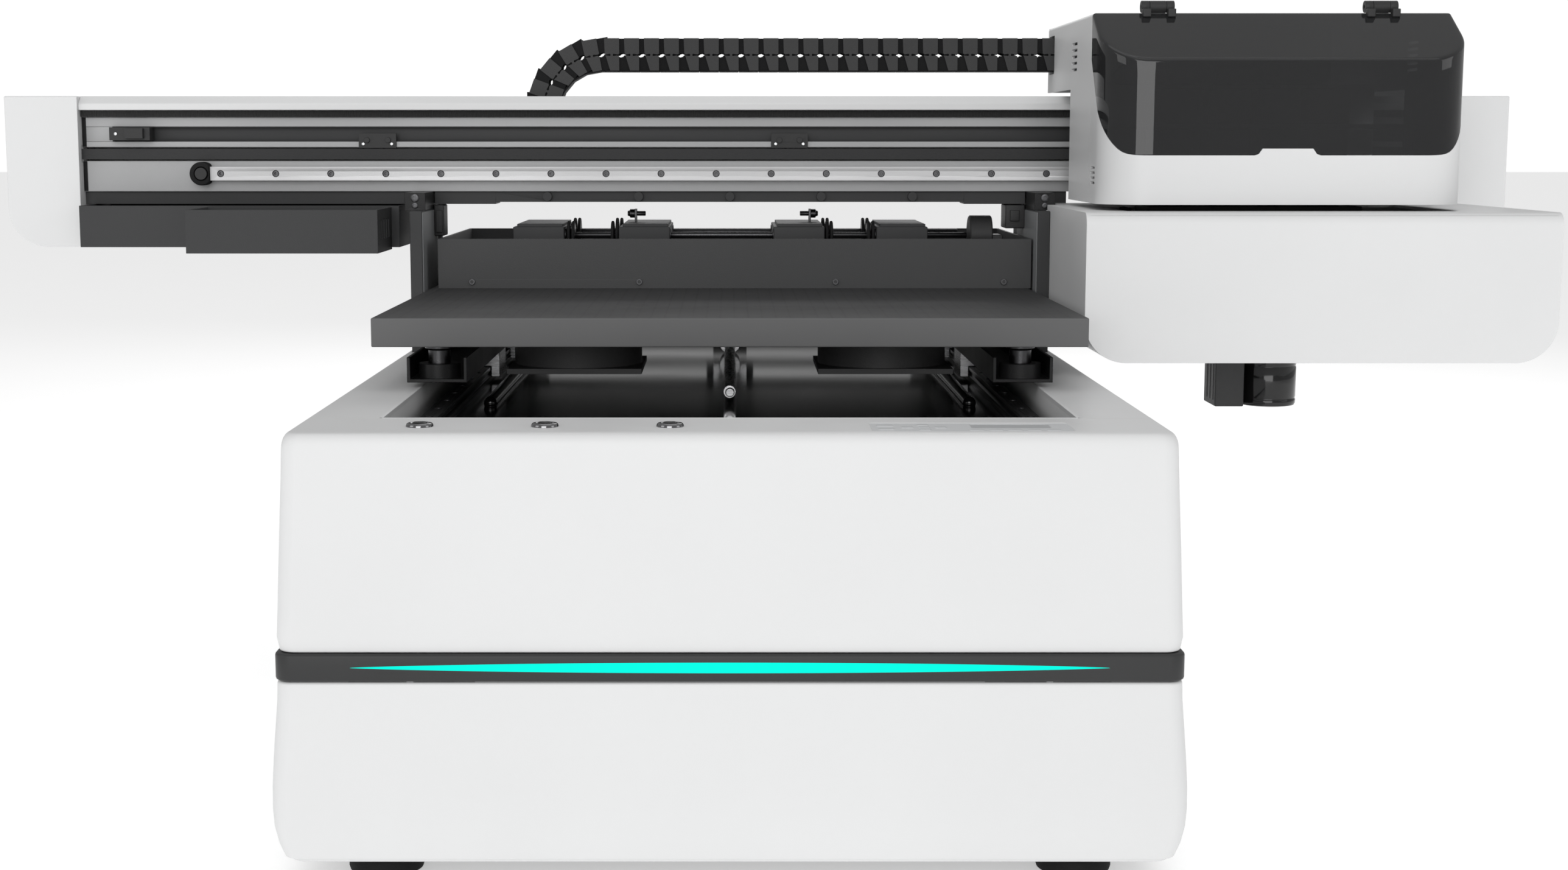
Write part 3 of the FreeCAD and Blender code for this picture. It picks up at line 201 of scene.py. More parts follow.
def bedMetal():
    # anodised plate with a square grid of small suction holes on the top face
    n, shader = newMaterial("bedSteel")
    g = useGroup(n, grainGroup, Scale=600.0)
    place = n.add("ShaderNodeTexCoord").outputs["Object"]
    spot = n.add("ShaderNodeSeparateXYZ", Vector=place)
    pitch, holeRadius = 0.0125, 0.0011
    steps = [n.math("PINGPONG", n.math("ADD", spot.outputs[i], 10 * pitch), pitch / 2) for i in (0, 1)]
    squares = [n.math("MULTIPLY", step, step) for step in steps]
    across = n.math("SQRT", n.math("ADD", *squares))
    up = n.add("ShaderNodeSeparateXYZ", Vector=n.add("ShaderNodeTexCoord").outputs["Normal"]).outputs[2]
    onTop = n.math("GREATER_THAN", up, 0.9)
    hole = n.math("MULTIPLY", n.remap(across, holeRadius, holeRadius * 0.7, 0.0, 1.0), onTop)
    tint = slowTint(n, g)
    # the top face takes a darker colour than the sides, picked by which way the face points: painted shade on
    # the top face
    top = n.mixColour(tint, rgba(0.04, 0.0403, 0.041), rgba(0.047, 0.0473, 0.048))
    side = n.mixColour(tint, rgba(0.125, 0.1255, 0.1265), rgba(0.138, 0.1385, 0.1395))
    shown = n.mixColour(hole, n.mixColour(onTop, side, top), rgba(0.004))
    link = n.tree.links.new
    link(shown, shader.inputs["Base Color"])
    link(n.remap(g.outputs[1], 0.3, 0.7, 0.42, 0.58), shader.inputs["Roughness"])
    height = n.math("SUBTRACT", n.math("MULTIPLY", g.outputs[0], 0.12), hole)
    setBump(n, shader, height, 0.6, 0.0006)
    setPlain(shader, Specular_IOR_Level=0.14)


def feltBrush():
    # short upright bristles: noise drawn out along Z
    n, shader = newMaterial("brushStrip")
    g = useGroup(n, brushGroup, Stretch=(1500.0, 1500.0, 60.0))
    shown = n.mixColour(n.remap(g.outputs[0], 0.35, 0.65, 0.0, 1.0), rgba(0.003), rgba(0.022))
    n.tree.links.new(shown, shader.inputs["Base Color"])
    setBump(n, shader, g.outputs[0], 1.0, 0.0012)
    setPlain(shader, Roughness=0.9, Sheen_Weight=0.2)


def smokedGlass():
    # clear dark sheet: part of the light passes, the rest meets a slightly uneven grey
    n, shader = newMaterial("smokedAcrylic")
    g = useGroup(n, grainGroup, Scale=40.0)
    shown = n.mixColour(slowTint(n, g), rgba(0.05, 0.051, 0.053), rgba(0.058, 0.059, 0.061))
    n.tree.links.new(shown, shader.inputs["Base Color"])
    setPlain(shader, Transmission_Weight=0.7, Roughness=0.02, IOR=1.45)


def litDiffuser():
    # lit strip with the faint spots of the lamps behind it
    n, shader = newMaterial("litStrip")
    along = n.add("ShaderNodeSeparateXYZ", Vector=n.add("ShaderNodeTexCoord").outputs["Object"])
    spacing = 0.006  # half the distance from one lamp to the next
    spots = n.math("PINGPONG", n.math("ADD", along.outputs[0], 2.0), spacing)
    glow = n.remap(spots, 0.0, spacing, 0.88, 1.0)
    colour = n.mixColour(glow, rgba(0.003, 0.92, 0.74), rgba(0.005, 1.0, 0.8))
    base = n.mixColour(glow, rgba(0.0, 0.01, 0.01), rgba(0.0, 0.02, 0.02))
    n.tree.links.new(colour, shader.inputs["Emission Color"])
    n.tree.links.new(base, shader.inputs["Base Color"])
    setPlain(shader, Emission_Strength=1.0, Specular_IOR_Level=0.0, Roughness=0.3)


def greenBoard():
    # solder mask with copper tracks: stepped noise bands and pads
    n, shader = newMaterial("circuitGreen")
    place = n.add("ShaderNodeTexCoord").outputs["Object"]
    cells = n.add("ShaderNodeTexVoronoi", settings={"distance": "MANHATTAN"}, Vector=place, Scale=150.0)
    tracks = n.math("LESS_THAN", n.math("PINGPONG", n.math("MULTIPLY", cells.outputs[0], 9.0), 0.5), 0.12)
    pads = n.math("LESS_THAN", cells.outputs[0], 0.18)
    shown = n.mixColour(tracks, rgba(0.01, 0.16, 0.06), rgba(0.03, 0.34, 0.13))
    shown = n.mixColour(pads, shown, rgba(0.55, 0.52, 0.42))
    n.tree.links.new(shown, shader.inputs["Base Color"])
    setPlain(shader, Roughness=0.3)


def panelPlastic():
    # printed membrane: pale field, grey key faces and a dark display window from the mesh's own masks
    n, shader = newMaterial("membrane")
    key = n.add("ShaderNodeAttribute", settings={"attribute_name": "keyMask"}).outputs["Fac"]
    screen = n.add("ShaderNodeAttribute", settings={"attribute_name": "screenMask"}).outputs["Fac"]
    g = useGroup(n, grainGroup, Scale=1200.0)
    field = n.mixColour(g.outputs[1], rgba(0.56, 0.57, 0.58), rgba(0.61, 0.62, 0.63))
    shown = n.mixColour(screen, n.mixColour(key, field, rgba(0.5, 0.51, 0.52)), rgba(0.48, 0.49, 0.5))
    n.tree.links.new(shown, shader.inputs["Base Color"])
    n.tree.links.new(n.remap(screen, 0.0, 1.0, 0.42, 0.3), shader.inputs["Roughness"])
    setBump(n, shader, g.outputs[0], 0.1, 0.0001)


print("making the finishes")
paint("whitePaint", (0.685, 0.688, 0.69), roughness=0.4, grain=1100.0, bump=0.012, spread=0.012,
      specular=0.35)
paint("whitePlastic", (0.64, 0.644, 0.65), roughness=0.45, grain=900.0, bump=0.02, spread=0.02, specular=0.35)
paint("boxPaint", (0.062, 0.0625, 0.0635), roughness=0.5, grain=900.0, bump=0.03, spread=0.08, specular=0.2)
paint("darkPaint", (0.044, 0.0445, 0.0455), roughness=0.5, grain=900.0, bump=0.03, spread=0.08, specular=0.2)
paint("bandPaint", (0.038, 0.0385, 0.039), roughness=0.4, grain=900.0, bump=0.015, spread=0.06, specular=0.2)
paint("glossBlack", (0.003, 0.003, 0.0032), roughness=0.1, grain=60.0, bump=0.004, spread=0.2, specular=0.45)
paint("blackSteel", (0.0095, 0.0095, 0.01), roughness=0.42, grain=900.0, bump=0.04, spread=0.2, specular=0.25)
paint("frameGrey", (0.2, 0.205, 0.21), roughness=0.5, grain=600.0, bump=0.05, specular=0.3)
paint("blackPlastic", (0.03, 0.03, 0.0305), roughness=0.5, grain=1300.0, bump=0.06, spread=0.12,
      specular=0.28)
# a darker black for the chain's recessed inner plates, cross bars and bottom strip: painted shade in the
# links' recess
paint("chainRecessShade", (0.0065, 0.0065, 0.007), roughness=0.6, grain=1300.0, bump=0.05, spread=0.1, specular=0.12)
paint("bottleBlack", (0.004, 0.004, 0.0042), roughness=0.1, grain=500.0, bump=0.006, spread=0.1, specular=0.5)
paint("glossPlastic", (0.003, 0.003, 0.003), roughness=0.22, grain=300.0, bump=0.004, spread=0.1,
      specular=0.2)
paint("rubber", (0.012, 0.012, 0.0125), roughness=0.75, grain=700.0, bump=0.08, spread=0.15, specular=0.2)
paint("beltRubber", (0.038, 0.038, 0.039), roughness=0.6, grain=1500.0, bump=0.06, spread=0.15, specular=0.2)
paint("lampBlack", (0.03, 0.03, 0.032), roughness=0.36, grain=900.0, bump=0.02, specular=0.4)
metal("aluminium", (0.66, 0.67, 0.68), roughness=0.34)
paint("beamAluminium", (0.36, 0.362, 0.366), roughness=0.5, grain=1500.0, bump=0.05, spread=0.05,
      metallic=0.25)
paint("railSteel", (0.52, 0.52, 0.525), roughness=0.45, grain=1200.0, bump=0.03, spread=0.03, metallic=0.45)
metal("chrome", (0.22, 0.22, 0.225), roughness=0.1, stretch=(400.0, 400.0, 400.0), bump=0.03, spread=0.04)
metal("steel", (0.6, 0.6, 0.61), roughness=0.28, stretch=(6.0, 900.0, 900.0))
metal("darkSteel", (0.08, 0.08, 0.083), roughness=0.35, stretch=(900.0, 6.0, 900.0))
for makeFinish in (bedMetal, feltBrush, smokedGlass, litDiffuser, greenBoard, panelPlastic):
    makeFinish()


# mesh building blocks

def gridFaces(rows, columns, closedRows, closedColumns, start):
    # quads between neighbouring points of a grid, wrapped where a direction is closed
    i = np.arange(rows if closedRows else rows - 1)
    j = np.arange(columns if closedColumns else columns - 1)
    i, j = np.meshgrid(i, j, indexing="ij")
    i2, j2 = (i + 1) % rows, (j + 1) % columns
    quads = np.stack([i * columns + j, i2 * columns + j, i2 * columns + j2, i * columns + j2], -1)
    return (quads.reshape(-1, 4) + start).tolist()


class Shells:
    # gathers one or more closed surfaces into a single mesh

    def __init__(self):
        self.points, self.faces, self.count = [], [], 0

    def raw(self, points, faces):
        self.points.append(np.asarray(points, float).reshape(-1, 3))
        self.faces += [[i + self.count for i in face] for face in faces]
        self.count += len(self.points[-1])
        return self

    def grid(self, points, closedRows=False, closedColumns=False, capStart=False, capEnd=False):
        # points[row, column] is a surface of two parameters; the first and last row can be capped
        rows, columns = points.shape[:2]
        faces = gridFaces(rows, columns, closedRows, closedColumns, 0)
        if capStart:
            faces.append(list(range(columns)))
        if capEnd:
            faces.append([(rows - 1) * columns + j for j in range(columns)][::-1])
        return self.raw(points, faces)

    def lathe(self, profile, centre, axis="z", segments=40):
        # a profile of (radius, height) pairs turned about an axis through the centre
        profile = np.array(profile, float)
        turn = np.linspace(0, 2 * np.pi, segments, endpoint=False)
        r, h = profile[:, 0][:, None], profile[:, 1][:, None]
        a, b = r * np.cos(turn), r * np.sin(turn)
        flat = np.broadcast_to(h, a.shape)
        order = {"z": (a, b, flat), "x": (flat, a, b), "y": (b, flat, a)}[axis]
        points = np.stack(order, -1) + np.array(centre)
        return self.grid(points, closedColumns=True, capStart=profile[0, 0] > 0, capEnd=profile[-1, 0] > 0)

    def prism(self, outline, axis, low, high):
        # a flat outline carried straight along one axis, capped at both ends
        outline = np.array(outline, float)
        ends = []
        for level in (low, high):
            flat = np.full(len(outline), level)
            a, b = outline[:, 0], outline[:, 1]
            ends.append(np.stack({"x": (flat, a, b), "y": (a, flat, b), "z": (a, b, flat)}[axis], -1))
        return self.grid(np.array(ends), closedColumns=True, capStart=True, capEnd=True)

    def block(self, low, high, radius=0.0008, steps=3):
        # a box whose edges are quarter rounds: each point of a dense box is pulled to the radius
        # around the nearest point of the inner box
        low, high = np.array(low, float), np.array(high, float)
        half, centre = (high - low) / 2, (high + low) / 2
        radius = min(radius, half.min() * 0.98)
        arc = np.tan(np.linspace(0, np.pi / 4, steps + 1)) * radius
        for axis in range(3):
            others = [k for k in range(3) if k != axis]
            marks = []
            for k in others:
                inner = half[k] - radius
                marks.append(np.concatenate([-(inner + arc[::-1]), inner + arc]))
            a, b = np.meshgrid(marks[0], marks[1], indexing="ij")
            for sign in (-1, 1):
                face = np.zeros(a.shape + (3,))
                face[..., others[0]], face[..., others[1]], face[..., axis] = a, b, sign * half[axis]
                inner = np.clip(face, -(half - radius), half - radius)
                away = face - inner
                away /= np.linalg.norm(away, axis=-1, keepdims=True)
                self.grid(inner + away * radius + centre)
        return self

    def build(self, name, weld=1e-6):
        mesh = bpy.data.meshes.new(name)
        mesh.from_pydata(np.concatenate(self.points).tolist(), [], self.faces)
        tidy = bmesh.new()
        tidy.from_mesh(mesh)
        bmesh.ops.remove_doubles(tidy, verts=tidy.verts, dist=weld)
        bmesh.ops.recalc_face_normals(tidy, faces=tidy.faces)
        tidy.to_mesh(mesh)
        tidy.free()
        piece = bpy.data.objects.new(name, mesh)
        bpy.context.scene.collection.objects.link(piece)
        return piece


def sharpen(piece, degrees=32):
    piece.data.polygons.foreach_set("use_smooth", [True] * len(piece.data.polygons))
    piece.data.set_sharp_from_angle(angle=math.radians(degrees))


def bevel(piece, width, segments=2, degrees=32):
    modifier = piece.modifiers.new("softEdges", "BEVEL")
    modifier.width, modifier.segments = width, segments
    modifier.limit_method, modifier.angle_limit = "ANGLE", math.radians(degrees)
    modifier.harden_normals = False


def bakeModifiers(piece):
    evaluated = piece.evaluated_get(bpy.context.evaluated_depsgraph_get())
    mesh = bpy.data.meshes.new_from_object(evaluated)
    piece.modifiers.clear()
    piece.data = mesh


def carve(piece, cutters):
    # cuts each closed cutter out of the piece for good
    for cutter in cutters:
        modifier = piece.modifiers.new("cut", "BOOLEAN")
        modifier.operation, modifier.solver, modifier.object = "DIFFERENCE", "EXACT", cutter
    bpy.context.view_layer.update()
    bakeModifiers(piece)
    for cutter in cutters:
        bpy.data.objects.remove(cutter)


def finish(piece, materialName, body="frame", stands=(), edge=0.0, degrees=32, segments=2):
    # gives a piece its finish and its body, and hides the parts that it stands for
    if edge:
        bevel(piece, edge, segments, degrees)
    if materialName:
        piece.data.materials.clear()
        piece.data.materials.append(materials[materialName])
    sharpen(piece, degrees)
    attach(piece, body)
    if stands:
        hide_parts(*stands)
    return piece


def softCopy(node, materialName, edge=0.0006, segments=2, degrees=32):
    # the part's own shape with merged facets and small rounds on its edges
    source = frame["nodes"][node]
    tidy = bmesh.new()
    tidy.from_mesh(source.data)
    bmesh.ops.remove_doubles(tidy, verts=tidy.verts, dist=1e-6)
    bmesh.ops.dissolve_limit(tidy, angle_limit=math.radians(0.4), verts=tidy.verts, edges=tidy.edges)
    mesh = bpy.data.meshes.new(node + ".soft")
    tidy.to_mesh(mesh)
    tidy.free()
    piece = bpy.data.objects.new(node + ".soft", mesh)
    bpy.context.scene.collection.objects.link(piece)
    return finish(piece, materialName, nodeBody[node], (node,), edge, degrees, segments)


def cab(x, y, z):
    # a point in cabinet millimetres to the row frame in metres
    return (midX + x * mm, midY + (y - deckMiddle) * mm, z * mm)


def toRow(points):
    # an array of cabinet millimetres to the row frame
    return points * mm + np.array(cab(0, 0, 0))


def inMm(profile):
    # pairs in millimetres to pairs in metres
    return [(a * mm, b * mm) for a, b in profile]


# cabinet

cabinet = {"cornerRadius": 13.0, "depthExtra": 298.0, "skin": 3.0, "splitY": -522.0, "seam": 0.6,
           "upper": [(350.5, 195), (352, 206), (351.2, 225), (349.2, 275), (347.0, 325), (346.0, 365)],
           "upperRound": (6.0, 13.0), "upperLip": 2.0,
           "lower": [(347, 26), (350.2, 30), (354.2, 42), (356.8, 56), (357.6, 70), (357.4, 88),
                     (356.2, 110), (354.4, 135), (352.8, 156), (352.4, 172)],
           "lowerRound": (2.5, 2.5), "lowerLip": 3.0,
           "opening": ((-281, 281), (-522.5, 655)), "slotX": (324.4, 338.6), "slotY": (36, 201),
           "buttonX": (-244, -145.5, -47), "buttonY": -572, "buttonHole": 9.2,
           "linerInner": 281.2, "linerOuter": 284, "linerFront": (-521.8, -519), "linerBack": (655, 658),
           "linerZ": (334, 365.2)}


def ringPoints(halfWidths, heights, part):
    # the cabinet's plan outline at each height: a rectangle with quarter-round corners.
    # columns run round the outline, rows run up the profile
    w, z = np.array(halfWidths, float)[:, None], np.array(heights, float)[:, None]
    deep, r = w + cabinet["depthExtra"], cabinet["cornerRadius"]
    arc = np.linspace(0, np.pi / 2, 9)
    front, back = [(-1, -1, np.pi), (1, -1, 1.5 * np.pi)], [(1, 1, 0), (-1, 1, 0.5 * np.pi)]
    xs, ys = [], []
    for sx, sy, start in {"front": front, "rest": back, "ring": front + back}[part]:
        xs.append(sx * (w - r) + r * np.cos(start + arc))
        ys.append(deckMiddle + sy * (deep - r) + r * np.sin(start + arc))
    x, y = np.concatenate(xs, 1), np.concatenate(ys, 1)
    if part != "ring":
        side = -1 if part == "front" else 1
        seam = cabinet["splitY"] - (cabinet["seam"] if part == "front" else 0)
        end = np.full_like(w, seam)
        x = np.concatenate([side * w, x, -side * w], 1)
        y = np.concatenate([end, y, end], 1)
    return toRow(np.stack([x, y, np.broadcast_to(z, x.shape)], -1))


def smoothProfile(marks, top, lip):
    # half widths against height: straight runs with an elliptic round at the top and a small one at the lip
    marks = np.array(marks, float)
    turn = np.linspace(0, np.pi / 2, 7)
    across, tall = top
    last = marks[-1]
    shoulder = np.stack([last[0] - across * (1 - np.cos(turn)), last[1] - tall * (1 - np.sin(turn))], -1)
    hem = np.stack([marks[0, 0] - lip * (1 - np.sin(turn)), marks[0, 1] + lip * (1 - np.cos(turn))], -1)
    return np.concatenate([hem, marks[1:-1], shoulder])


def cabinetSkin(name, level, part, node, cutters=()):
    # a sheet skin: the level's profile carried round its part of the outline, then given its wall
    profile = smoothProfile(cabinet[level], cabinet[level + "Round"], cabinet[level + "Lip"])
    points = ringPoints(profile[:, 0], profile[:, 1], part)
    piece = Shells().grid(points, closedColumns=part == "ring", capEnd=level == "upper").build(name)
    solidify(piece, cabinet["skin"] * mm)
    if cutters:
        carve(piece, cutters)
    return finish(piece, "whitePaint", "frame", (node,), 0.0, 26)


def cutBlock(x, y, z, radius=0.001):
    low, high = cab(x[0], y[0], z[0]), cab(x[1], y[1], z[1])
    return Shells().block(low, high, radius).build("cutter")


def makeCabinet():
    print("making the cabinet skins")
    low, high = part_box("control_panel")
    gap, through = 0.3 * mm, (300, 400)
    pocket = Shells().block((low.x - gap, low.y - gap, low.z), (high.x + gap, high.y + gap, 0.4), 0.006)
    cutters = [pocket.build("cutter")]
    hole = inMm([(cabinet["buttonHole"], 330), (cabinet["buttonHole"], 390)])
    for x in cabinet["buttonX"]:
        cutters.append(Shells().lathe(hole, cab(x, cabinet["buttonY"], 0)).build("cutter"))
    cabinetSkin("frontUpperCover", "upper", "front", "front_upper_cover", cutters)
    cutters = [cutBlock(*cabinet["opening"], through, 0.0001)]
    for s in (-1, 1):
        cutters.append(cutBlock(sorted(s * x for x in cabinet["slotX"]), cabinet["slotY"], through, 0.0001))
    cabinetSkin("upperSidePanels", "upper", "rest", "upper_panels", cutters)
    cabinetSkin("lowerCover", "lower", "ring", "lower_cover")


def makeLiner():
    # a thin upright frame round the deck opening: four rounded bars
    inner, outer = cabinet["linerInner"], cabinet["linerOuter"]
    front, back, (z0, z1) = cabinet["linerFront"], cabinet["linerBack"], cabinet["linerZ"]
    shell = Shells()
    for x0, x1, y0, y1 in ((-outer, -inner, front[0], back[1]), (inner, outer, front[0], back[1]),
                           (-outer, outer, *front), (-outer, outer, *back)):
        shell.block(cab(x0, y0, z0), cab(x1, y1, z1), 0.0006)
    finish(shell.build("openingLiner"), "whitePaint", "frame")


band = {"inner": 345.5, "outer": 353.4, "low": 172.5, "high": 194.5, "round": 2.2, "stripDeep": 1.1,
        "stripTaper": 1.6, "stripNose": 0.6}


def makeBand():
    # the dark band: a section with rounded outer edges carried round the cabinet
    inner, outer, low, high, r = (band[key] for key in ("inner", "outer", "low", "high", "round"))
    turn = np.linspace(-np.pi / 2, np.pi / 2, 7)
    half = np.concatenate([outer - r + r * np.cos(turn[:4]), outer - r + r * np.cos(turn[3:])])
    z = np.concatenate([low + r + r * np.sin(turn[:4]), high - r + r * np.sin(turn[3:])])
    half = np.concatenate([[inner], half, [inner]])
    z = np.concatenate([[low], z, [high]])
    shell = Shells().grid(ringPoints(half, z, "ring"), closedRows=True, closedColumns=True)
    finish(shell.build("lightBand"), "bandPaint", "frame", ("light_band",), 0.0, 40)
    low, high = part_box("light_strip")
    # the lit strip: an ellipse carried along x, whose height and depth swell from nothing at the two ends
    u = np.linspace(0, np.pi, 81)[:, None]
    turn = np.linspace(0, 2 * np.pi, 24, endpoint=False)[None, :]
    deep = band["stripDeep"] * mm
    tall = (high.z - low.z) / 2 * np.sin(u) ** band["stripTaper"]
    x = (low.x + high.x) / 2 - np.cos(u) * (high.x - low.x) / 2 + 0 * turn
    y = low.y + deep - np.sin(u) ** band["stripNose"] * np.cos(turn) * deep
    z = (low.z + high.z) / 2 + tall * np.sin(turn)
    strip = Shells().grid(np.stack([x, y, z], -1), closedColumns=True)
    finish(strip.build("lightStrip"), "litStrip", "frame", ("light_strip",), 0, 60)


foot = {"reach": 30.5,
        "pad": [(0, 0), (27, 0), (29.6, 1), (30.4, 3.5), (30.4, 12), (29.6, 14), (27.5, 15.2), (0, 15.2)],
        "cup": [(0, 15.2), (26.5, 15.2), (26.2, 17), (22, 20), (11, 21.5), (8, 24), (0, 24)],
        "stemTop": 39.5, "nutRadius": 13, "nut": (24.5, 32)}


def makeFeet():
    # rubber pad, steel cup and a hex lock nut on a threaded stem
    rubber, steel = Shells(), Shells()
    low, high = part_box("levelling_feet")
    reach = foot["reach"] * mm
    ridges = [(7.4 + 0.5 * (i % 2), 24 + i * 0.9) for i in range(18)]
    stem = inMm([(0, 24)] + ridges + [(0, foot["stemTop"])])
    turn = np.linspace(0, 2 * np.pi, 6, endpoint=False)
    hexagon = foot["nutRadius"] * mm * np.stack([np.cos(turn), np.sin(turn)], -1)
    for x in (low.x + reach, high.x - reach):
        for y in (low.y + reach, high.y - reach):
            rubber.lathe(inMm(foot["pad"]), (x, y, 0), "z", 56)
            steel.lathe(inMm(foot["cup"]), (x, y, 0), "z", 48)
            steel.lathe(stem, (x, y, 0), "z", 24)
            steel.prism(hexagon + (x, y), "z", *(z * mm for z in foot["nut"]))
    finish(rubber.build("footPads"), "rubber", "frame", ("levelling_feet",), 0, 40)
    finish(steel.build("footStems"), "steel", "frame")


controls = {"ring": 11, "ringTop": 365.3, "ringFoot": 352, "bore": 6.25, "cap": 5.9, "capRound": 1.3,
            "panelCorner": 6.0, "keyLift": 0.55, "screenSink": 0.35,
            "keys": [(14, 17, 12, 8), (14, 37, 12, 8)]
            + [(44 + dx, 27 + dy, 8, 8) for dx, dy in ((-13, 0), (13, 0), (0, -13), (0, 13), (0, 0))]
            + [(84 + 15 * i, 11, 10, 6) for i in range(5)],
            "screen": (113, 36, 62, 24)}


def makeButtons():
    print("making the controls")
    ring = Shells()
    low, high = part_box("button_bezels")
    y, outer, top = (low.y + high.y) / 2, controls["ring"], controls["ringTop"]
    places = np.linspace(low.x + outer * mm, high.x - outer * mm, 3)
    crown = [(8.6 + 2.3 * math.cos(t), top + 2.6 * math.sin(t)) for t in np.linspace(0, np.pi, 9)]
    bore, foot = controls["bore"], controls["ringFoot"]
    section = [(outer, top - 0.9)] + crown + [(bore, top - 0.7), (bore, foot), (8.9, foot), (8.9, top - 0.9)]
    for x in places:
        ring.lathe(inMm(section), (x, y, 0), "z", 48)
    finish(ring.build("buttonRings"), "chrome", "frame", ("button_bezels",), 0, 50)
    r, soft, top = controls["cap"], controls["capRound"], high.z / mm + 0.4
    arc = np.linspace(0, np.pi / 2, 6)
    dome = [(r - soft * (1 - math.cos(t)), top - soft * (1 - math.sin(t))) for t in arc]
    section = [(0, 351), (r, 351)] + dome + [(3.2, top - 0.25), (0, top - 0.4)]
    for side, x in zip(("left", "middle", "right"), places):
        cap = Shells().lathe(inMm(section), (x, y, 0), "z", 40).build("buttonCap." + side)
        finish(cap, "glossPlastic", "button_" + side, ("button_cap_" + side,), 0, 40)


def makePanel():
    # the membrane: a height over the panel's plan, raised at the keys, sunk at the window and low at the rim
    low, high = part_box("control_panel")
    wide, deep = round((high.x - low.x) / mm), round((high.y - low.y) / mm)
    columns, rows = 270, 92
    x, y = np.meshgrid(np.linspace(low.x, high.x, columns), np.linspace(low.y, high.y, rows), indexing="ij")
    px, py = (x - low.x) / mm, (y - low.y) / mm  # millimetres from the panel's front left corner

    def pad(cx, cy, w, h, soft=0.8):
        # distance to a small rounded rectangle, turned into a smooth step
        away = np.hypot(np.maximum(abs(px - cx) - w / 2 + 1.5, 0), np.maximum(abs(py - cy) - h / 2 + 1.5, 0))
        return np.clip((1.5 + soft - away) / soft, 0, 1)

    keys = np.max([pad(*key) for key in controls["keys"]], axis=0)
    screen = pad(*controls["screen"], 0.5)
    rim = np.clip(np.minimum(np.minimum(px, wide - px), np.minimum(py, deep - py)) / 1.2, 0, 1)
    z = low.z + (0.55 + 0.3 * rim + controls["keyLift"] * keys - controls["screenSink"] * screen) * mm
    # the square grid's corners are pulled in to quarter rounds
    r = controls["panelCorner"]
    cx, cy = np.clip(px, r, wide - r), np.clip(py, r, deep - r)
    reach = np.hypot(px - cx, py - cy)
    pull = np.where(reach > r, r / np.maximum(reach, 1e-6), 1.0)
    top = np.stack([low.x + (cx + (px - cx) * pull) * mm, low.y + (cy + (py - cy) * pull) * mm, z], -1)
    base = top.copy()
    base[..., 2] = low.z
    shell = Shells().grid(top[::-1]).grid(base)
    for line in ((top[0], base[0]), (top[-1], base[-1]), (top[:, 0], base[:, 0]), (top[:, -1], base[:, -1])):
        shell.grid(np.array(line))
    piece = shell.build("membranePanel", 2e-6)
    spots = np.empty(len(piece.data.vertices) * 3)
    piece.data.vertices.foreach_get("co", spots)
    spots = spots.reshape(-1, 3)
    across = (spots[:, 0] - low.x) / (high.x - low.x) * (columns - 1)
    along = (spots[:, 1] - low.y) / (high.y - low.y) * (rows - 1)
    column = np.clip(np.rint(across).astype(int), 0, columns - 1)
    row = np.clip(np.rint(along).astype(int), 0, rows - 1)
    for label, mask in (("keyMask", keys), ("screenMask", screen)):
        attribute = piece.data.attributes.new(label, "FLOAT", "POINT")
        attribute.data.foreach_set("value", mask[column, row])
    finish(piece, "membrane", "frame", ("control_panel",), 0, 60)


# bed, rails and well

def makeWell():
    print("making the well and the bed")
    softCopy("base_frame", "frameGrey", 0.002)
    softCopy("well_floor", "glossBlack", 0.0004)
    softCopy("y_rails", "darkSteel", 0.0004)
    softCopy("bed_channels", "blackSteel", 0.0005)
    softCopy("bed_bearings", "steel", 0.0006)
    softCopy("drive_motors", "blackSteel", 0.0012)
    softCopy("power_inlet", "blackPlastic", 0.0006)
    low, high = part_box("y_screw")
    centre = ((low.x + high.x) / 2, 0, (low.z + high.z) / 2)
    length, pitch = high.y - low.y, 5 * mm
    # ball thread: the radius dips along a helix, as a function of distance along and turn around
    along, turn = np.linspace(0, length - 7 * mm, 660), np.linspace(0, 2 * np.pi, 16, endpoint=False)
    s, a = np.meshgrid(along, turn, indexing="ij")
    wave = np.cos(2 * np.pi * s / pitch + a)
    radius = 6 * mm - 0.55 * mm * np.clip(wave, 0, 1) ** 0.7
    x, z = centre[0] + radius * np.cos(a), centre[2] + radius * np.sin(a)
    points = np.stack([x, low.y + 7 * mm + s, z], -1)
    shell = Shells().grid(points, closedColumns=True, capStart=True, capEnd=True)
    nose = inMm([(0, 0), (3.6, 0), (4.4, 1), (4.4, 7.2), (0, 7.2)])
    shell.lathe(nose, (centre[0], low.y, centre[2]), "y", 32)
    finish(shell.build("bedScrew"), "steel", "bed_screw", ("y_screw",), 0, 50)
    screws = Shells()
    for x in (-259, 259):
        for i in range(19):
            hexScrew(screws, cab(x, -470 + 60 * i, 346.9), 3.5 * mm, 4.6 * mm, "z")
    finish(screws.build("bedRailScrews"), "darkSteel", "frame", (), 0, 40)


def hexScrew(shell, spot, radius, height, axis="z", sign=1, segments=20):
    # socket head screw: a chamfered disc with a sunk round socket
    marks = [(0, 0), (radius, 0), (radius, height * 0.85), (radius * 0.9, height), (radius * 0.5, height),
             (radius * 0.46, height * 0.45), (0, height * 0.45)]
    shell.lathe([(r, h * sign) for r, h in marks], spot, axis, segments)
    return shell


bed = {"slabLow": 0.405, "postX": (-265.7, 265.7), "postY": (-285, 145, 575),
       "post": [(0, 380), (9, 380), (10, 381), (10, 398), (13, 400), (13, 405), (0, 405)],
       "fanX": {"left": -143, "right": 143}, "fanY": -218, "blades": 7,
       "hub": [(0, 381), (18, 381), (19, 383), (19, 399), (16, 402), (0, 402)]}


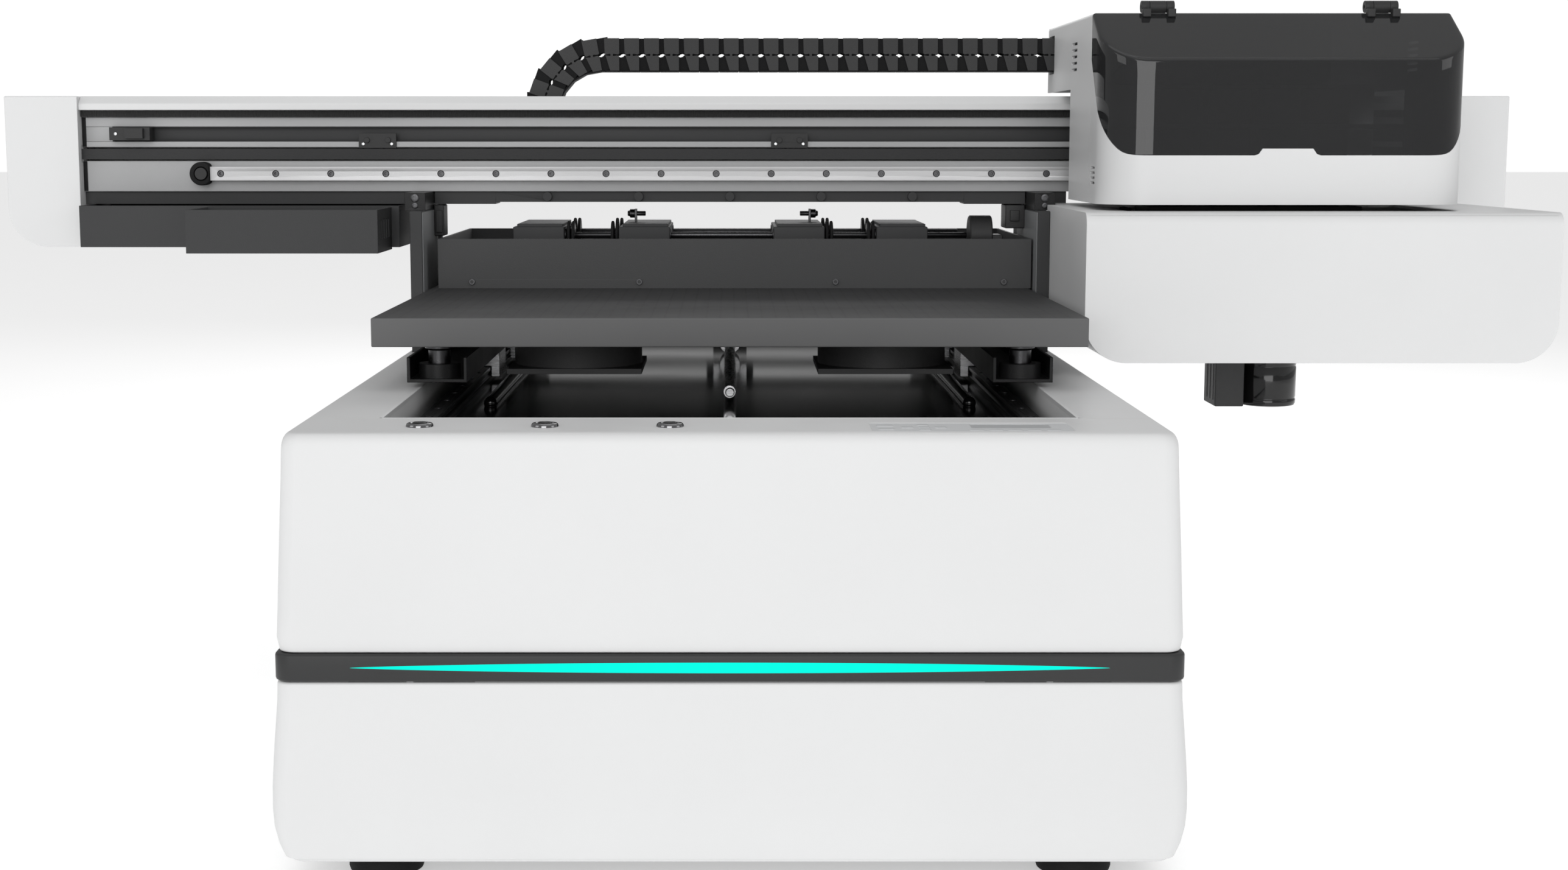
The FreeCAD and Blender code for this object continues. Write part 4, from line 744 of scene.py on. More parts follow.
def makeBed():
    low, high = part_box("bed_plate")
    slab = Shells().block((low.x, low.y, bed["slabLow"]), high, 0.0012)
    finish(slab.build("bedSlab"), "bedSteel", "bed", ("bed_plate",), 0, 40)
    posts = Shells()
    for x in bed["postX"]:
        for y in bed["postY"]:
            posts.lathe(inMm(bed["post"]), cab(x, y, 0), "z", 36)
    finish(posts.build("liftPosts"), "darkSteel", "bed", (), 0, 40)
    softCopy("vacuum_fans", "blackPlastic", 0.0008)
    for side, x in bed["fanX"].items():
        centre = np.array(cab(x, bed["fanY"], 0))
        rotor = Shells().lathe(inMm(bed["hub"]), centre, "z", 40)
        out, chord = np.linspace(18, 52, 10)[:, None] * mm, np.linspace(-1, 1, 7)[None, :]
        for k in range(bed["blades"]):
            # a twisted blade: chord angle falls from hub to tip, thickness follows a flat ellipse
            pitch = np.radians(48 - 22 * (out / mm - 18) / 34)
            sweep = 2 * np.pi * k / bed["blades"] + chord * (10 * mm / out) * np.cos(pitch)
            height = 391.5 * mm + chord * 9 * mm * np.sin(pitch)
            thick = 0.9 * mm * np.sqrt(1 - chord ** 2)
            x, y = centre[0] + out * np.cos(sweep), centre[1] + out * np.sin(sweep)
            upper, lower = (np.stack([x, y, height + s * thick], -1) for s in (1, -1))
            blade = np.concatenate([upper, lower[:, -2:0:-1]], 1)
            rotor.grid(blade, closedColumns=True, capStart=True, capEnd=True)
        piece = rotor.build("fanRotor." + side)
        finish(piece, "blackPlastic", "fan_" + side, ("fan_rotor_" + side,), 0, 50)


# rotary attachment

rotary = {"towers": ((-238, -182), (-122, -66), (48, 104), (161, 217)), "front": 128, "back": 274,
          "foot": 434, "top": 494, "lid": 497, "shaftZ": 484, "shaftRadius": 3.3, "rimRadius": 13.6,
          "wheels": (-180, -175, -131.5, -126.5, 105, 110, 151, 156), "wheelWide": 4.0,
          "clamps": ((-106, -1), (90, 1)), "clampY": 200, "clampZ": 506.4, "clampTop": 511.6}


def makeRotary():
    print("making the rotary attachment")
    softCopy("rotary_box", "boxPaint", 0.0007)
    screws = Shells()
    for x in (-276, -97, 113, 293):
        hexScrew(screws, cab(x, 62, 438), 3.4 * mm, 1.9 * mm, "y", -1)
    finish(screws.build("rotaryBoxScrews"), "darkSteel", "bed", (), 0, 40)
    r, z = rotary, rotary["shaftZ"]
    stands, plates, clamps = Shells(), Shells(), Shells()
    for x0, x1 in r["towers"]:
        stands.block(cab(x0, r["front"], r["foot"]), cab(x1, r["back"], r["top"]), 0.0012, 3)
        stands.block(cab(x0 + 4, r["front"] + 6, r["top"] - 1), cab(x1 - 2, r["back"] - 6, r["lid"]), 0.0008)
        for y in (150, 250):
            for side, x in ((-1, x0), (1, x1)):
                flange = [(3.6, 0), (8, 0), (8, 0.6 * side), (7, 1.1 * side), (3.6, 1.1 * side)]
                plates.lathe(inMm(flange), cab(x, y, z), "x", 28)
    finish(stands.build("rollerTowers"), "darkPaint", "bed", ("rotary_supports",), 0, 40)
    finish(plates.build("rollerBushes"), "darkSteel", "bed", (), 0, 40)
    for x, side in r["clamps"]:
        post = cab(x, r["clampY"], r["clampZ"])
        y = r["clampY"]
        clamps.block(cab(x - 1.3, y - 6, r["lid"] - 0.5), cab(x + 1.3, y + 6, r["clampTop"]), 0.0004)
        shank = [(0, -11 * side), (2.2, -11 * side), (2.7, -10.4 * side), (2.7, 0), (0, 0)]
        knob = ((0, 1.4), (4.9, 1.4), (4.9, 6.4), (3.4, 7.2), (2.6, 9.3), (0, 9.3))
        head = [(a, b * side) for a, b in knob]
        for profile in (shank, head):
            clamps.lathe(inMm(profile), post, "x", 24)
    finish(clamps.build("clampScrews"), "darkSteel", "bed", (), 0, 40)
    motor = Shells().block(cab(266.5, 130, 434), cab(300, 170, 485), 0.0015)
    can = [(0, 0), (20.5, 0), (21.8, 1.2), (21.8, 23.6), (20.5, 24.8), (0, 24.8)]
    motor.lathe(inMm(can), cab(264, 150, z), "x", 56)
    finish(motor.build("rollerMotor"), "blackPlastic", "bed", (), 0, 40)
    for name, node, y in (("front", "roller_front", 150), ("rear", "roller_rear", 250)):
        low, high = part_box(node)
        shaft, rings = Shells(), Shells()
        centre = cab(0, y, z)
        axle = r["shaftRadius"] * mm
        shaft.lathe([(0, low.x), (axle * 0.8, low.x), (axle, low.x + 0.8 * mm), (axle, high.x - 0.8 * mm),
                     (axle * 0.8, high.x), (0, high.x)], (0, centre[1], centre[2]), "x", 28)
        rim, wide = r["rimRadius"] * mm, r["wheelWide"] * mm
        for x in r["wheels"]:
            x0 = cab(x, 0, 0)[0]
            hub = [(axle, 0), (rim - 2.4 * mm, 0), (rim, 0.5 * mm), (rim - 0.7 * mm, 1.2 * mm),
                   (rim - 0.7 * mm, wide - 1.2 * mm), (rim, wide - 0.5 * mm), (rim - 2.4 * mm, wide),
                   (axle, wide)]
            shaft.lathe([(a, x0 + b) for a, b in hub], (0, centre[1], centre[2]), "x", 48)
            # a rubber ring in the groove: a torus, the small turn t carried round the large turn a
            t, a = np.meshgrid(np.linspace(0, 2 * np.pi, 12, endpoint=False),
                               np.linspace(0, 2 * np.pi, 48, endpoint=False), indexing="ij")
            small = 1.7 * mm
            away = rim + 0.6 * mm + small * np.cos(t)
            ring = np.stack([x0 + wide / 2 + small * np.sin(t), centre[1] + away * np.cos(a),
                             centre[2] + away * np.sin(a)], -1)
            rings.grid(ring, closedRows=True, closedColumns=True)
        body = name + "_roller"
        finish(shaft.build("rollerShaft." + name), "darkSteel", body, (node,), 0, 40)
        finish(rings.build("rollerRings." + name), "rubber", body, (), 0, 80)


# gantry

gantry = {"holeFirst": -555, "holePitch": 60, "holes": 22, "railZ": 552, "railFront": 120}


def makeUprights():
    print("making the gantry")
    softCopy("uprights", "darkPaint", 0.0008)
    # mid grey facings on the uprights' inner faces stand for the shade on these light panels: painted shade
    facing = Shells()
    low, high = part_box("uprights")
    inset = 1.5 * mm
    for s in (-1, 1):
        x0, x1 = sorted((midX + s * 325 * mm, midX + s * 324.1 * mm))
        facing.block((x0, low.y + inset, 0.366), (x1, high.y - inset, high.z - inset), 0.0003)
    finish(facing.build("uprightShadeFacings"), "frameGrey", "frame")
    softCopy("gantry_brackets", "blackSteel", 0.0012)
    caps = Shells()
    for s in (-1, 1):
        hexScrew(caps, cab(336 * s, 65, 527), 4.4 * mm, 1.6 * mm, "y", -1)
        hexScrew(caps, cab(336 * s, 65, 519), 3.2 * mm, 1.2 * mm, "y", -1)
    finish(caps.build("bracketScrews"), "darkSteel", "frame")
    # height sensor with its probe on the left, cable cover on the right, both tucked under the beam
    sensor = Shells().block(cab(-324.5, 128, 484), cab(-313.5, 160, 518), 0.0015)
    sensor.block(cab(-322, 124, 488), cab(-315, 128.5, 512), 0.0008)
    probe = [(0, 448), (0.5, 449), (0.9, 458), (1.9, 460), (1.9, 485), (0, 485)]
    sensor.lathe(inMm(probe), cab(-319, 134, 0), "z", 20)
    finish(sensor.build("heightSensor"), "blackPlastic", "frame", (), 0, 40)
    cover = Shells().block(cab(303, 136, 492), cab(324.5, 176, 518), 0.0015)
    cover.block(cab(308, 133, 500), cab(318, 136.5, 512), 0.0008)
    finish(cover.build("cableCover"), "blackPlastic", "frame", (), 0, 40)


def makeBeam():
    softCopy("gantry_beam", "beamAluminium", 0.0005)
    # a thin dark liner on the back and the two walls of the groove: painted shade in the groove
    groove = Shells().block(cab(-673.5, 137.2, 587.2), cab(764.5, 137.8, 602.2), 0.0001, 1)
    groove.block(cab(-673.5, 131, 602.0), cab(764.5, 137.8, 602.6), 0.0001, 1)
    groove.block(cab(-673.5, 131, 586.8), cab(764.5, 137.8, 587.3), 0.0001, 1)
    finish(groove.build("grooveShadeLiner"), "darkPaint", "frame")
    filler = Shells().block(cab(-706.8, 130.1, 586.8), cab(-674, 137.9, 602.6), 0.0002, 1)
    finish(filler.build("grooveFiller"), "beamAluminium", "frame")
    seals = Shells().block(cab(-706.9, 129.3, 533), cab(-702.6, 130.3, 565.4), 0.0003, 1)
    seals.block(cab(-706.9, 129.3, 581), cab(-702.6, 130.3, 612.6), 0.0003, 1)
    finish(seals.build("beamEndSeals"), "rubber", "frame")
    small = Shells()
    for x, y, z in [(x, 127.4, 584) for x in (-400, -369, 50, 80)] + [(-667, 117, 595)]:
        hexScrew(small, cab(x, y, z), 1.7 * mm, 0.9 * mm, "y", -1)
    finish(small.build("clipScrews"), "aluminium", "frame", (), 0, 40)
    softCopy("beam_top_cover", "whitePaint", 0.0008)
    softCopy("felt_strip", "brushStrip", 0.0012)
    softCopy("beam_lower_flange", "darkPaint", 0.0006)
    softCopy("x_rail", "railSteel", 0.0004)
    screws = Shells()
    for i in range(gantry["holes"]):
        spot = cab(gantry["holeFirst"] + gantry["holePitch"] * i, gantry["railFront"] + 5.2, gantry["railZ"])
        hexScrew(screws, spot, 3.3 * mm, 4.4 * mm, "y", -1)
    finish(screws.build("beamRailScrews"), "darkSteel", "frame", (), 0, 40)
    stop = Shells()
    turn = np.linspace(0, np.pi / 2, 6)
    for x, radius in ((-575, 12.75), (755, 9)):
        # a rubber drum whose front edge is a quarter round, with a sunk middle
        face, reach = cab(x, 114, 552), radius * mm
        profile = [(0, 16 * mm), (reach, 16 * mm)]
        profile += [(reach - 1.6 * mm * (1 - math.cos(t)), 1.6 * mm * (1 - math.sin(t))) for t in turn]
        profile += [(reach * 0.62, 0), (reach * 0.58, 4 * mm), (0, 4 * mm)]
        stop.lathe(profile, face, "y", 40)
    leftDrum = stop.points[0]  # cut off flat where the slide rail begins
    leftDrum[:, 0] = np.minimum(leftDrum[:, 0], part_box("x_rail")[0].x - 0.4 * mm)
    finish(stop.build("railStops"), "rubber", "frame", ("rail_bumpers",), 0, 35)
    sockets = Shells()
    hexScrew(sockets, cab(-575, 118, 552), 4.2 * mm, 2.2 * mm, "y", -1)
    finish(sockets.build("railStopScrew"), "steel", "frame", (), 0, 40)
    softCopy("beam_clips", "blackPlastic", 0.0006)
    makeBelt()
    for node, body in (("drive_pulley", "driver"), ("idler_pulley", "idler")):
        low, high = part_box(node)
        centre = ((low.x + high.x) / 2, (low.y + high.y) / 2, 0)
        bottom, top = 565.3 * mm, 581 * mm
        rim = inMm([(14.6, 0), (15, 0.7), (14.6, 1.4), (11.3, 1.6)])
        section = [(0, low.z), (8 * mm, low.z), (8 * mm, bottom)] + [(r, bottom + h) for r, h in rim]
        section += [(r, top - h) for r, h in rim[::-1]] + [(4 * mm, top), (0, top)]
        wheel = Shells().lathe(section, centre, "z", 48)
        teeth = np.linspace(0, 2 * np.pi, 40, endpoint=False)
        for a in teeth:
            x, y = centre[0] + 11.3 * mm * math.cos(a), centre[1] + 11.3 * mm * math.sin(a)
            half, foot, head = 0.45 * mm, bottom + 1.5 * mm, top - 1.5 * mm
            wheel.block((x - half, y - half, foot), (x + half, y + half, head), 0.0001, 1)
        finish(wheel.build(node + ".turned"), "aluminium", body, (node,), 0, 40)


def makeBelt():
    # a flat closed loop round both pulleys: two straight runs and two half circles, walked by their length s
    low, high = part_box("x_belt")
    radius, thick = 12.1 * mm, 1.4 * mm
    mid = (low.y + high.y) / 2
    x0, x1 = low.x + 13.6 * mm, high.x - 13.6 * mm
    straight, bend = x1 - x0, np.pi * radius
    s = np.linspace(0, 2 * straight + 2 * bend, 4096, endpoint=False)
    edges = (straight, straight + bend, 2 * straight + bend)
    parts = [s < edges[0], (s >= edges[0]) & (s < edges[1]), (s >= edges[1]) & (s < edges[2])]
    a1, a2, zero = (s - edges[0]) / radius, (s - edges[2]) / radius, 0 * s
    nx = np.select(parts, [zero, np.sin(a1), zero], -np.sin(a2))  # outward direction
    ny = np.select(parts, [zero - 1, -np.cos(a1), zero + 1], np.cos(a2))
    px = np.select(parts, [x0 + s, x1 + radius * np.sin(a1), x1 - (s - edges[1])], x0 - radius * np.sin(a2))
    py = mid + radius * ny
    z0, z1 = low.z + 0.2 * mm, high.z - 0.2 * mm
    rows = []
    for away, z in ((0, z0), (thick, z0), (thick, z1), (0, z1)):
        rows.append(np.stack([px + nx * away, py + ny * away, z + zero], -1))
    piece = Shells().grid(np.stack(rows, 1), closedRows=True, closedColumns=True).build("beltLoop")
    finish(piece, "beltRubber", "frame", ("x_belt",), 0, 50)


def makeEndCaps():
    # the sheet metal covers keep their own shapes with wide rounds, as bent panels have
    softCopy("end_caps", "whitePaint", 0.0022, 4, 40)
    softCopy("station_housing", "whitePaint", 0.0014, 3, 40)
    softCopy("under_beam_tray", "darkPaint", 0.0005)
    softCopy("shield_tray", "darkPaint", 0.0005)
    softCopy("chain_trough", "blackSteel", 0.0004)
    softCopy("station_mounts", "aluminium", 0.0006)
    softCopy("capping_station", "blackPlastic", 0.0008)
    softCopy("wiper", "rubber", 0.0006)
    wipers = Shells()
    low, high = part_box("capping_station")
    for i in range(4):
        x0, x1 = cab(447 + 50 * i, 0, 0)[0], cab(479 + 50 * i, 0, 0)[0]
        y0, y1 = low.y + 9 * mm, high.y - 9 * mm
        ring = np.array([(x0, y0), (x1, y0), (x1, y1), (x0, y1)])
        for (ax, ay), (bx, by) in zip(ring, np.roll(ring, -1, 0)):
            wipers.block((min(ax, bx) - 0.8 * mm, min(ay, by) - 0.8 * mm, 0.5155),
                         (max(ax, bx) + 0.8 * mm, max(ay, by) + 0.8 * mm, 0.5206), 0.0006)
    finish(wipers.build("cappingSeals"), "rubber", "capper")


def makeBottle():
    # a straight dark bottle with two moulded bands, its screw cap and the holder beside it
    x, y = cab(553, -40, 0)[:2]
    body = [(0, 318.5), (25.5, 318.5), (27.8, 319.3), (28.8, 321.5), (28.8, 325), (28.3, 325.8), (28.3, 327),
            (28.8, 327.8), (28.8, 358), (28.3, 358.8), (28.3, 360), (28.8, 360.8), (28.8, 367), (27.5, 370),
            (22, 372.5), (12, 373.5), (12, 376.8), (0, 376.8)]
    bottle = Shells().lathe(inMm(body), (x, y, 0), "z", 72)
    finish(bottle.build("wasteBottle"), "bottleBlack", "frame", ("waste_bottle",), 0, 35)
    low, high = cab(494, -66, 319), cab(523.5, -14, 377)
    holder = Shells().block(low, high, 0.0015)
    for i in range(3):
        holder.block((low[0] - 0.5 * mm, low[1] + 8 * mm + i * 14 * mm, low[2] + 6 * mm),
                     (low[0] + 0.5 * mm, low[1] + 14 * mm + i * 14 * mm, high[2] - 10 * mm), 0.0004)
    finish(holder.build("bottleHolder"), "blackPlastic", "frame")


# carriage and hood

hood = {"front": -153.0, "brow": -72.0, "browZ": 665.0, "top": 713.0, "sill": 573.5, "low": 526.0,
        "left": 360.0, "right": 716.0, "corner": 45.0, "wall": 3.0, "slope": 1.27,
        "tabHalf": 29.5, "tabTall": 6.5, "frontSteps": 72}


def makeCarriage():
    print("making the carriage")
    softCopy("carriage_plate", "aluminium", 0.0006)
    softCopy("carriage_blocks", "steel", 0.0009)
    softCopy("ink_tanks", "whitePlastic", 0.0016, 3)
    softCopy("uv_lamps", "lampBlack", 0.001)
    softCopy("circuit_board", "circuitGreen", 0.0002)
    softCopy("print_heads", "blackPlastic", 0.0008)
    lids, tubes = Shells(), Shells()
    lid = inMm([(0, 640), (9.5, 640), (10, 640.6), (10, 644.5), (9, 645.5), (0, 645.5)])
    t = np.linspace(0, 1, 40)[:, None]
    shares = ((1 - t) ** 3, 3 * t * (1 - t) ** 2, 3 * t ** 2 * (1 - t), t ** 3)
    turn = np.linspace(0, 2 * np.pi, 12, endpoint=False)[None, :, None]
    for i in range(4):
        x = 459 + 50 * i
        lids.lathe(lid, cab(x, 10, 0), "z", 36)
        # a flexible supply tube: a circle carried along an arching curve towards the chain foot
        marks = ((x, 26, 640), (x, 28, 690), (430 + 14 * i, 74, 694 - 4 * i), (400 + 3 * i, 76, 655 + 5 * i))
        route = sum(np.array(cab(*mark)) * share for mark, share in zip(marks, shares))
        ahead = np.gradient(route, axis=0)
        ahead /= np.linalg.norm(ahead, axis=1, keepdims=True)
        side = np.cross(ahead, [1.0, 0.3, 0.2])
        side /= np.linalg.norm(side, axis=1, keepdims=True)
        up = np.cross(ahead, side)
        circle = side[:, None, :] * np.cos(turn) + up[:, None, :] * np.sin(turn)
        tubes.grid(route[:, None, :] + 1.9 * mm * circle, closedColumns=True, capStart=True, capEnd=True)
    finish(lids.build("tankLids"), "blackPlastic", "carriage", (), 0, 40)
    finish(tubes.build("inkTubes"), "blackPlastic", "carriage", (), 0, 60)


def hoodOutline(inset, steps=14):
    # plan outline from the left side round the front corners to the right side, clear of the shell
    r = hood["corner"] - inset
    left, right, front = hood["left"] + inset, hood["right"] - inset, hood["front"] + inset
    arc = np.linspace(0, np.pi / 2, steps)
    leftCorner = np.stack([left + r - r * np.cos(arc), front + r - r * np.sin(arc)], -1)
    rightCorner = np.stack([right - r + r * np.sin(arc), front + r - r * np.cos(arc)], -1)
    back = hood["brow"] - 0.2
    frontEdge = np.linspace(leftCorner[-1], rightCorner[0], hood["frontSteps"])[1:-1]
    sideY = np.linspace(back, leftCorner[0, 1], 8)[:-1]
    leftSide = np.stack([np.full(7, left), sideY], -1)
    rightSide = np.stack([np.full(7, right), sideY[::-1]], -1)
    return np.concatenate([leftSide, leftCorner, frontEdge, rightCorner, rightSide])


def hoodRoof(y):
    # height of the slanted front pane over a distance from the operator, level behind the brow
    slope = (hood["top"] - hood["browZ"]) / (hood["brow"] - hood["front"])
    return np.minimum(hood["browZ"] + (y - hood["front"]) * slope, hood["top"])


def paneSill(outline):
    # height of the pane's lower edge: level across the front, then climbing back along each side at one slope
    # through a soft bend, with a small raised finger tab in the middle
    run = outline[:, 1] - hood["front"] - 6.5
    climb = hood["slope"] * ((np.hypot(run, 5.0) + run) / 2 - 0.85)
    middle = (hood["left"] + hood["right"]) / 2
    tab = np.clip((hood["tabHalf"] - abs(outline[:, 0] - middle)) / 5.0, 0, 1)
    onFront = outline[:, 1] < hood["front"] + 6
    finger = np.where(onFront, tab * tab * (3 - 2 * tab) * hood["tabTall"], 0)
    return hood["sill"] + np.maximum(climb, 0) + finger


def wallOf(shell, outline, low, top, rows):
    # upright wall on the outline from low up to a height that may differ from point to point
    t = np.linspace(0, 1, rows)[:, None]
    low, top = np.broadcast_to(low, len(outline)), np.broadcast_to(top, len(outline))
    z = low * (1 - t) + top * t
    x, y = (np.broadcast_to(outline[:, k], z.shape) for k in (0, 1))
    return shell.grid(toRow(np.stack([x, y, z], -1)))


def makeHood():
    print("making the hood")
    # the lid: upright skirt with round corners, then the slanted pane up to the brow, in one sheet
    outline = hoodOutline(0.0)
    r = 3.2  # softness where the skirt turns into the pane
    sill = paneSill(outline) + 0.6
    roof = hoodRoof(outline[:, 1])
    centreX = (hood["left"] + hood["right"]) / 2
    wall = []
    for t in np.linspace(0, 1, 9):
        wall.append(np.stack([outline[:, 0], outline[:, 1], sill + (roof - r - sill) * t], -1))
    # outline points in front pull back with the turn and side points pull inward
    normals = np.gradient(outline, axis=0)
    normals = np.stack([-normals[:, 1], normals[:, 0]], -1)
    normals /= np.linalg.norm(normals, axis=1, keepdims=True)
    normals *= np.sign((normals * (np.array([centreX, 0]) - outline)).sum(1, keepdims=True))
    for t in np.linspace(0, np.pi / 2, 6)[1:]:
        drop, pull = r * (1 - math.sin(t)), r * (1 - math.cos(t))
        spot = outline + normals * pull
        spot[:, 1] = np.minimum(spot[:, 1], hood["brow"] - 0.2)
        wall.append(np.stack([spot[:, 0], spot[:, 1], hoodRoof(spot[:, 1]) - drop], -1))
    wall = np.array(wall)
    rim = wall[-1]
    # the pane: straight lines across from each point of the left rim to its twin on the right
    sides = (len(rim) - hood["frontSteps"] + 2) // 2
    left, right = rim[:sides], rim[::-1][:sides]
    across = np.linspace(0, 1, hood["frontSteps"])[None, :, None]
    pane = left[:, None] * (1 - across) + right[:, None] * across
    piece = Shells().grid(toRow(wall)).grid(toRow(pane)).build("hoodLid", 2e-5)
    openEdges(piece)
    solidify(piece, hood["wall"] * mm)
    knuckles = Shells()
    for x in (425, 647):
        for s in (-1, 1):
            x0, x1 = sorted((x + 8.45 * s, x + 16.3 * s))
            barrel = [(3.05, x0), (5.7, x0), (6, x0 + 0.4), (6, x1 - 0.4), (5.7, x1), (3.05, x1)]
            knuckles.lathe(inMm(barrel), (midX, cab(0, -67, 0)[1], 719.5 * mm), "x", 28)
            knuckles.block(cab(x0, -81, 709), cab(x1, -72.4, 717), 0.0008)
            knuckles.block(cab(x0, -74, 713.6), cab(x1, -69.5, 717), 0.0008)
    finish(piece, "smokedAcrylic", "lid", ("hood_lid",), 0, 24)
    finish(knuckles.build("lidKnuckles"), "blackPlastic", "lid", (), 0, 40)
    makeHoodBase()
    makeHoodShell()
    softCopy("hood_hinges", "blackPlastic", 0.0006)


def openEdges(piece):
    # faces of an open sheet are turned to look away from the sheet's own middle
    tidy = bmesh.new()
    tidy.from_mesh(piece.data)
    tidy.verts.ensure_lookup_table()
    middle = sum((v.co for v in tidy.verts), tidy.verts[0].co * 0) / len(tidy.verts)
    bmesh.ops.recalc_face_normals(tidy, faces=tidy.faces)
    outward = sum(f.normal.dot(f.calc_center_median() - middle) * f.calc_area() for f in tidy.faces)
    if outward < 0:
        bmesh.ops.reverse_faces(tidy, faces=tidy.faces)
    tidy.to_mesh(piece.data)
    tidy.free()


def solidify(piece, thickness):
    wall = piece.modifiers.new("wall", "SOLIDIFY")
    wall.thickness, wall.offset, wall.use_even_offset = thickness, -1.0, True
    bpy.context.view_layer.update()
    bakeModifiers(piece)


def ventCut(y0, y1, z, tall, radius):
    # a cutter for one vent slot, long enough to pass through both sides of the hood
    return Shells().block(cab(300, y0, z), cab(800, y1, z + tall), radius).build("cutter")


def makeHoodBase():
    # the lower front: a wall on the same outline, up to the pane's lower edge, with side vents
    outline = hoodOutline(0.0)
    piece = wallOf(Shells(), outline, hood["low"], paneSill(outline), 7).build("hoodFront", 2e-5)
    openEdges(piece)
    solidify(piece, hood["wall"] * mm)
    carve(piece, [ventCut(-104, -80, 545 + 5 * i, 2.4, 0.0011) for i in range(4)])
    finish(piece, "whitePaint", "carriage", ("hood_front_panel",), 0.0, 26)


def makeHoodShell():
    # the rear shell in plain walls: a section of soft corners carried back, a lower skirt ending at the step,
    # and the back wall
    r, w = 4.0, hood["wall"]
    turn = np.linspace(0, np.pi / 2, 7)
    left, right, top = hood["left"], hood["right"], hood["top"]

    def section(inset, foot):
        k = r - inset if r > inset else 0.4
        side = [(left + inset, foot)]
        side += [(left + inset + k - k * math.cos(t), top - inset - k + k * math.sin(t)) for t in turn]
        side += [(right - inset - k + k * math.sin(t), top - inset - k + k * math.cos(t)) for t in turn]
        return side + [(right - inset, foot)]

    shell = Shells()
    for y0, y1, foot in ((-71.6, 60.0, hood["low"]), (60.0, 226.0, 641.0)):
        loop = np.array(section(0, foot) + section(w, foot)[::-1])
        ends = [np.stack([loop[:, 0], np.full(len(loop), y), loop[:, 1]], -1) for y in (y0, y1)]
        shell.grid(toRow(np.array(ends)), closedColumns=True)
        for end in ends:
            n = len(section(0, foot))
            outer, inner = end[:n], end[n:][::-1]
            shell.grid(toRow(np.stack([outer, inner])))
    piece = shell.build("hoodShell", 1e-6)
    back = Shells().block(cab(left + 0.3, 222.8, 641.2), cab(right - 0.3, 225.8, top - 0.5), 0.0008)
    finish(back.build("hoodBack"), "whitePaint", "carriage", (), 0, 40)
    cutters = [Shells().block(cab(350, 180.4, 661), cab(370, 218.6, 703), 0.002).build("cutter")]
    cutters += [ventCut(20, 55, 659.5 + 6.6 * i, 3.0, 0.0013) for i in range(5)]
    carve(piece, cutters)
    finish(piece, "whitePaint", "carriage", ("hood_shell",), 0.0, 30)


# cable chain

chain = {"pitch": 22.1, "links": 28, "upperLinks": 23, "half": 18.3, "bendX": -145.0, "bendZ": 618.0,
         "bendR": 64.0, "front": 182.4, "back": 216.6}


def linkShape(plates, backs):
    # one link seen from the side, in millimetres: x runs along the chain from its pivot, z across it
    p, h = chain["pitch"], chain["half"]
    y0, y1, wall = chain["front"], chain["back"], 2.4
    slit = 0.5
    knob = [math.radians(a) for a in (130, 90, 45, 0, -45, -90, -130)]
    left = [(0.51 * p + 1.3 * math.cos(a), 1.3 * math.sin(a)) for a in knob][::-1]
    right = [(0.73 * p - 1.3 * math.cos(a), 1.3 * math.sin(a)) for a in knob]
    outer = [(0.24 * p, h), (p, h), (p, 1.4), (0.93 * p, slit)] + right + [(0.9 * p, -slit), (p, -1.6)]
    outer += [(p, 1.2 - h), (0.54 * p, 1.2 - h), (0.34 * p, -2.4), (0.3 * p, -slit)] + left
    outer += [(0.34 * p, slit), (0.27 * p, 1.8)]
    upper = [(0.6 * p, h - 0.4), (0.6 * p, 0.1), (0.97 * p, 0.1), (1.05 * p, 1.6), (1.16 * p, 2.1),
             (1.28 * p, 0.9), (1.34 * p, 0.1), (1.56 * p, 0.1), (1.56 * p, h - 0.4)]
    lower = [(0.6 * p, -0.1), (0.6 * p, 0.9 - h), (1.56 * p, 0.9 - h), (1.56 * p, -0.1), (1.26 * p, -0.3),
             (1.2 * p, -1.9), (1.08 * p, -2.7), (0.94 * p, -1.7), (0.9 * p, -0.1)]
    near, far = wall + 0.1, wall + 1.7  # the inner plates, just behind the outer ones
    for a, b, c, d in ((y0, y0 + wall, y0 + near, y0 + far), (y1 - wall, y1, y1 - far, y1 - near)):
        plates.prism(outer, "y", a, b)
        for inner in (upper, lower):
            backs.prism(inner, "y", c, d)
    for z in (h - 2.2, 0.2 - h):
        backs.block((0.26 * p, y0 + wall, z), (0.98 * p, y1 - wall, z + 2.0), 0.3, 1)
    backs.block((0.02 * p, y0 + 0.4, -h), (1.0 * p, y1 - 0.4, 1.1 - h), 0.2, 1)


